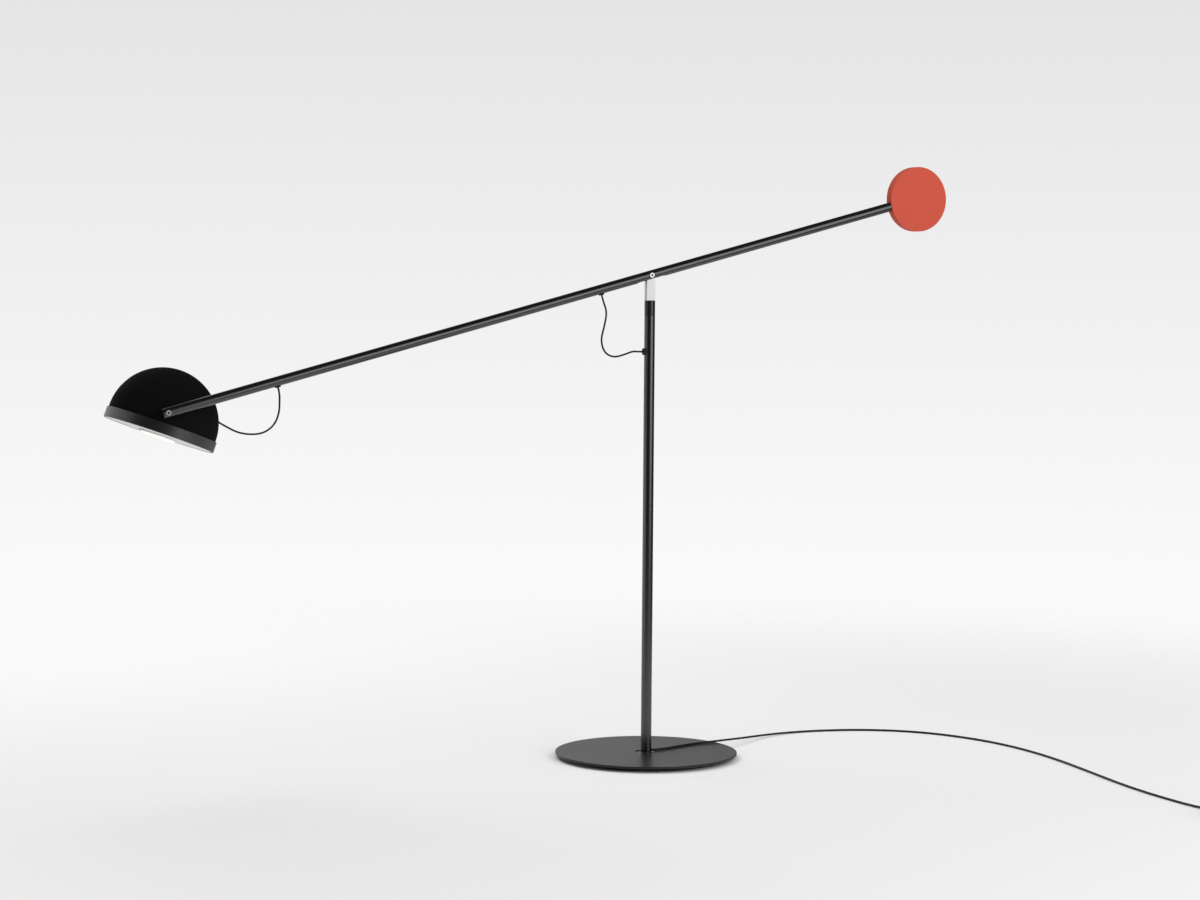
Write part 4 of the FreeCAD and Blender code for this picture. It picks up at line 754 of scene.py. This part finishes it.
def tube_along(name, points, diameter, material):
    """Closed tube whose rings stay square to a line of points."""
    mesh = bmesh.new()
    rings = []
    across = Vector((0, 1, 0))
    for k, point in enumerate(points):
        before = points[max(k - 1, 0)]
        after = points[min(k + 1, len(points) - 1)]
        along = (after - before).normalized()
        across = (across - along * across.dot(along)).normalized()
        side = along.cross(across)
        ring = []
        for j in range(RING_SIDES):
            angle = 2 * math.pi * j / RING_SIDES
            offset = across * math.cos(angle) + side * math.sin(angle)
            ring.append(mesh.verts.new(point + offset * diameter / 2))
        rings.append(ring)
    for one, two in zip(rings, rings[1:]):
        for j in range(RING_SIDES):
            following = (j + 1) % RING_SIDES
            mesh.faces.new((one[j], one[following], two[following], two[j]))
    mesh.faces.new(list(reversed(rings[0])))
    mesh.faces.new(rings[-1])
    bmesh.ops.recalc_face_normals(mesh, faces=mesh.faces)
    for face in mesh.faces:
        face.smooth = len(face.verts) == 4
    data = bpy.data.meshes.new(name)
    mesh.to_mesh(data)
    mesh.free()
    tube = bpy.data.objects.new(name, data)
    bpy.context.scene.collection.objects.link(tube)
    finish_piece(tube, material)
    return tube


def line_length(points):
    return sum((b - a).length for a, b in zip(points, points[1:]))


# %% [markdown]
# ## From the arm to the stem
#
# This lead drops out of the arm beside the pivot, swings out and comes back to a
# grommet in the stem. The photograph shows it from end to end.

# %% The jumper from the arm to the stem
STEM_JUMPER_ROUTE = [
    (-0.0618, 0, 0.5880), (-0.0652, 0, 0.5700), (-0.0706, 0, 0.5515), (-0.0655, 0, 0.5350),
    (-0.0520, 0, 0.5285), (-0.0365, 0, 0.5322), (-0.0245, 0, 0.5366),
]
near_tip = arm_grommet_tip(ARM_GROMMET_NEAR)
stem_jumper_controls = [near_tip, near_tip + ARM_DOWN * ARM_RUN]
stem_jumper_controls += [Vector(point) for point in STEM_JUMPER_ROUTE]
stem_jumper_controls += [STEM_GROMMET_TIP - Vector((STEM_GROMMET_RUN, 0, 0)), STEM_GROMMET_TIP]
stem_jumper_line = spline_points("stem_jumper_line", stem_jumper_controls)
meeting = min(range(len(stem_jumper_line)), key=lambda k: stem_jumper_line[k].z)
upper_line = stem_jumper_line[:meeting + 1]
lower_line = stem_jumper_line[meeting:]
jumper_upper = tube_along("jumper_upper", upper_line, JUMPER_D, sheath)
jumper_lower = tube_along("jumper_lower", lower_line, JUMPER_D, sheath)
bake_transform(jumper_upper)
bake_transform(jumper_lower)
for piece, line in ((jumper_upper, upper_line), (jumper_lower, lower_line)):
    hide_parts("jumper_stem_arm")
print("jumper from arm to stem:", round(line_length(stem_jumper_line), 4), "m")

# %% [markdown]
# ## From the arm to the dome
#
# This lead hangs in a wider loop and enters the dome on the far side. The grommet there
# points up and back, so the lead ends along that direction, which is worked out by
# turning the shade's own axes.

# %% The jumper from the arm to the dome
SHADE_JUMPER_ROUTE = [
    (-0.5058, 0.0026, 0.4756), (-0.5040, 0.0088, 0.4635), (-0.5049, 0.0230, 0.4471),
    (-0.5116, 0.0437, 0.4356), (-0.5207, 0.0666, 0.4321), (-0.5316, 0.0887, 0.4334),
    (-0.5405, 0.1069, 0.4396), (-0.5494, 0.1192, 0.4461), (-0.5564, 0.1227, 0.4541),
]
far_tip = arm_grommet_tip(ARM_GROMMET_FAR)
shade_turn = Matrix.Rotation(SHADE_TILT, 3, "Y")
nipple_turn = Matrix.Rotation(NIPPLE_TURN, 3, "Z") @ Matrix.Rotation(-NIPPLE_ELEVATION, 3, "Y")
nipple_dir = shade_turn @ nipple_turn @ Vector((1, 0, 0))
nipple_tip = SHADE_CENTRE + nipple_dir * NIPPLE_TIP
shade_jumper_controls = [far_tip, far_tip + ARM_DOWN * ARM_RUN]
shade_jumper_controls += [Vector(point) for point in SHADE_JUMPER_ROUTE]
shade_jumper_controls += [nipple_tip + nipple_dir * NIPPLE_RUN, nipple_tip]
shade_jumper_line = spline_points("shade_jumper_line", shade_jumper_controls)
jumper_shade = tube_along("jumper_shade", shade_jumper_line, JUMPER_D, sheath)
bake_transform(jumper_shade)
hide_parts("jumper_arm_shade")
print("jumper from arm to dome:", round(line_length(shade_jumper_line), 4), "m")

# %% [markdown]
# ## The studio
#
# The lamp stands on a wide pale floor that fades into a pale background, so no horizon
# shows from any side. A floor could simply be made huge, but it would still end in a
# line. Instead its shader turns to a transparent one with the distance from the lamp,
# and the background behind it takes over. Near the lamp it is all there, for the shadow.

# %% The floor
FLOOR_R = 12.0
FADE_START = 0.6
FADE_END = 1.9
FLOOR_COLOUR = (0.95, 0.95, 0.95, 1)


def make_floor_material():
    material, tree, shader, place = new_material("studio floor")
    shader.inputs["Base Color"].default_value = FLOOR_COLOUR
    shader.inputs["Roughness"].default_value = 0.9
    shader.inputs["Specular IOR Level"].default_value = 0.05
    clear = add_node(tree, "ShaderNodeBsdfTransparent", (300, -500))
    distance = add_node(tree, "ShaderNodeVectorMath", (-600, 300), operation="LENGTH")
    fade = add_node(tree, "ShaderNodeMapRange", (-400, 300),
                    {"From Min": FADE_START, "From Max": FADE_END}, interpolation_type="SMOOTHSTEP")
    mix = add_node(tree, "ShaderNodeMixShader", (480, 200))
    output = next(n for n in tree.nodes if n.type == "OUTPUT_MATERIAL")
    link = tree.links.new
    link(place.outputs["Object"], distance.inputs[0])
    link(distance.outputs["Value"], fade.inputs["Value"])
    link(fade.outputs["Result"], mix.inputs["Fac"])
    link(shader.outputs["BSDF"], mix.inputs[1])
    link(clear.outputs["BSDF"], mix.inputs[2])
    link(mix.outputs["Shader"], output.inputs["Surface"])
    return material


floor_mesh = bmesh.new()
bmesh.ops.create_circle(floor_mesh, cap_ends=True, segments=96, radius=FLOOR_R)
floor_data = bpy.data.meshes.new("studio_floor")
floor_mesh.to_mesh(floor_data)
floor_mesh.free()
floor = bpy.data.objects.new("studio_floor", floor_data)
bpy.context.scene.collection.objects.link(floor)
finish_piece(floor, make_floor_material())

# %% [markdown]
# ## The background
#
# One world does four jobs, told apart by the kind of ray. The camera, and anything seen
# through glass, gets a plain pale gradient. Diffuse rays get soft light that is stronger
# from the right, so that the left sides of the disc and the base fall into shade. Glossy
# rays get a dark room with one bright side, behind on the left, which draws the bright
# edge along the stem and leaves its middle black.

# %% The background and the plain light
AMBIENT_LEFT = 0.26
AMBIENT_RIGHT = 0.78
FROM_RIGHT = (0.8, -0.6, 0.0)
FROM_BEHIND_LEFT = (-0.573, 0.819, -0.2)


def make_world():
    world = bpy.data.worlds.new("studio")
    world.use_nodes = True
    tree = world.node_tree
    tree.nodes.clear()
    output = add_node(tree, "ShaderNodeOutputWorld", (900, 0))
    background = add_node(tree, "ShaderNodeBackground", (700, 0))
    rays = add_node(tree, "ShaderNodeLightPath", (-200, 500))
    place = add_node(tree, "ShaderNodeTexCoord", (-600, 0))
    apart = add_node(tree, "ShaderNodeSeparateXYZ", (-400, -100))
    height = add_node(tree, "ShaderNodeMapRange", (-200, -100),
                      {"From Min": -0.10, "From Max": 0.12, "To Min": 0.95, "To Max": 0.77})
    behind = add_node(tree, "ShaderNodeVectorMath", (-400, 200), {1: FROM_BEHIND_LEFT},
                      operation="DOT_PRODUCT")
    glossy = add_node(tree, "ShaderNodeMapRange", (-200, 200),
                      {"From Min": 0.1, "From Max": 0.6, "To Min": 0.03, "To Max": 0.95},
                      interpolation_type="SMOOTHSTEP")
    side = add_node(tree, "ShaderNodeVectorMath", (-400, 400), {1: FROM_RIGHT}, operation="DOT_PRODUCT")
    ambient = add_node(tree, "ShaderNodeMapRange", (-200, 350),
                       {"From Min": -0.9, "From Max": 0.9, "To Min": AMBIENT_LEFT, "To Max": AMBIENT_RIGHT})
    seen = add_node(tree, "ShaderNodeMath", (100, 450), operation="MAXIMUM")
    mix_gloss = add_node(tree, "ShaderNodeMix", (300, 150), data_type="FLOAT")
    mix_seen = add_node(tree, "ShaderNodeMix", (500, 50), data_type="FLOAT")
    link = tree.links.new
    link(place.outputs["Generated"], apart.inputs[0])
    link(apart.outputs["Z"], height.inputs["Value"])
    link(place.outputs["Generated"], behind.inputs[0])
    link(behind.outputs["Value"], glossy.inputs["Value"])
    link(place.outputs["Generated"], side.inputs[0])
    link(side.outputs["Value"], ambient.inputs["Value"])
    link(ambient.outputs["Result"], mix_gloss.inputs["A"])
    link(rays.outputs["Is Camera Ray"], seen.inputs[0])
    link(rays.outputs["Is Transmission Ray"], seen.inputs[1])
    link(rays.outputs["Is Glossy Ray"], mix_gloss.inputs["Factor"])
    link(glossy.outputs["Result"], mix_gloss.inputs["B"])
    link(seen.outputs[0], mix_seen.inputs["Factor"])
    link(mix_gloss.outputs["Result"], mix_seen.inputs["A"])
    link(height.outputs["Result"], mix_seen.inputs["B"])
    link(mix_seen.outputs["Result"], background.inputs["Color"])
    link(background.outputs["Background"], output.inputs["Surface"])
    bpy.context.scene.world = world


make_world()
print("world:", bpy.context.scene.world.name)


# %% [markdown]
# ## The softboxes
#
# A big softbox to the right of the camera lights the disc's face and draws the grey
# line along the stem and the arm. A second one behind and above throws the soft shadow
# forward. It would show as a glare on the base, so glossy rays don't see it.

# %% The softboxes
def softbox(name, place, aim, size, watts):
    """A large area light that the camera doesn't see."""
    data = bpy.data.lights.new(name, "AREA")
    data.shape = "RECTANGLE"
    data.size, data.size_y = size
    data.energy = watts
    light = bpy.data.objects.new(name, data)
    light.location = place
    light.rotation_euler = (Vector(aim) - Vector(place)).to_track_quat("-Z", "Y").to_euler()
    light.visible_camera = False
    bpy.context.scene.collection.objects.link(light)
    return light


softbox("softbox_right", (1.14, -2.34, 1.15), (0, 0, 0.6), (2.4, 2.2), 34)
top_light = softbox("softbox_top", (-0.7, 1.9, 2.4), (0, 0, 0), (2.0, 2.0), 38)
top_light.visible_glossy = False
bpy.context.scene.view_settings.view_transform = "Standard"
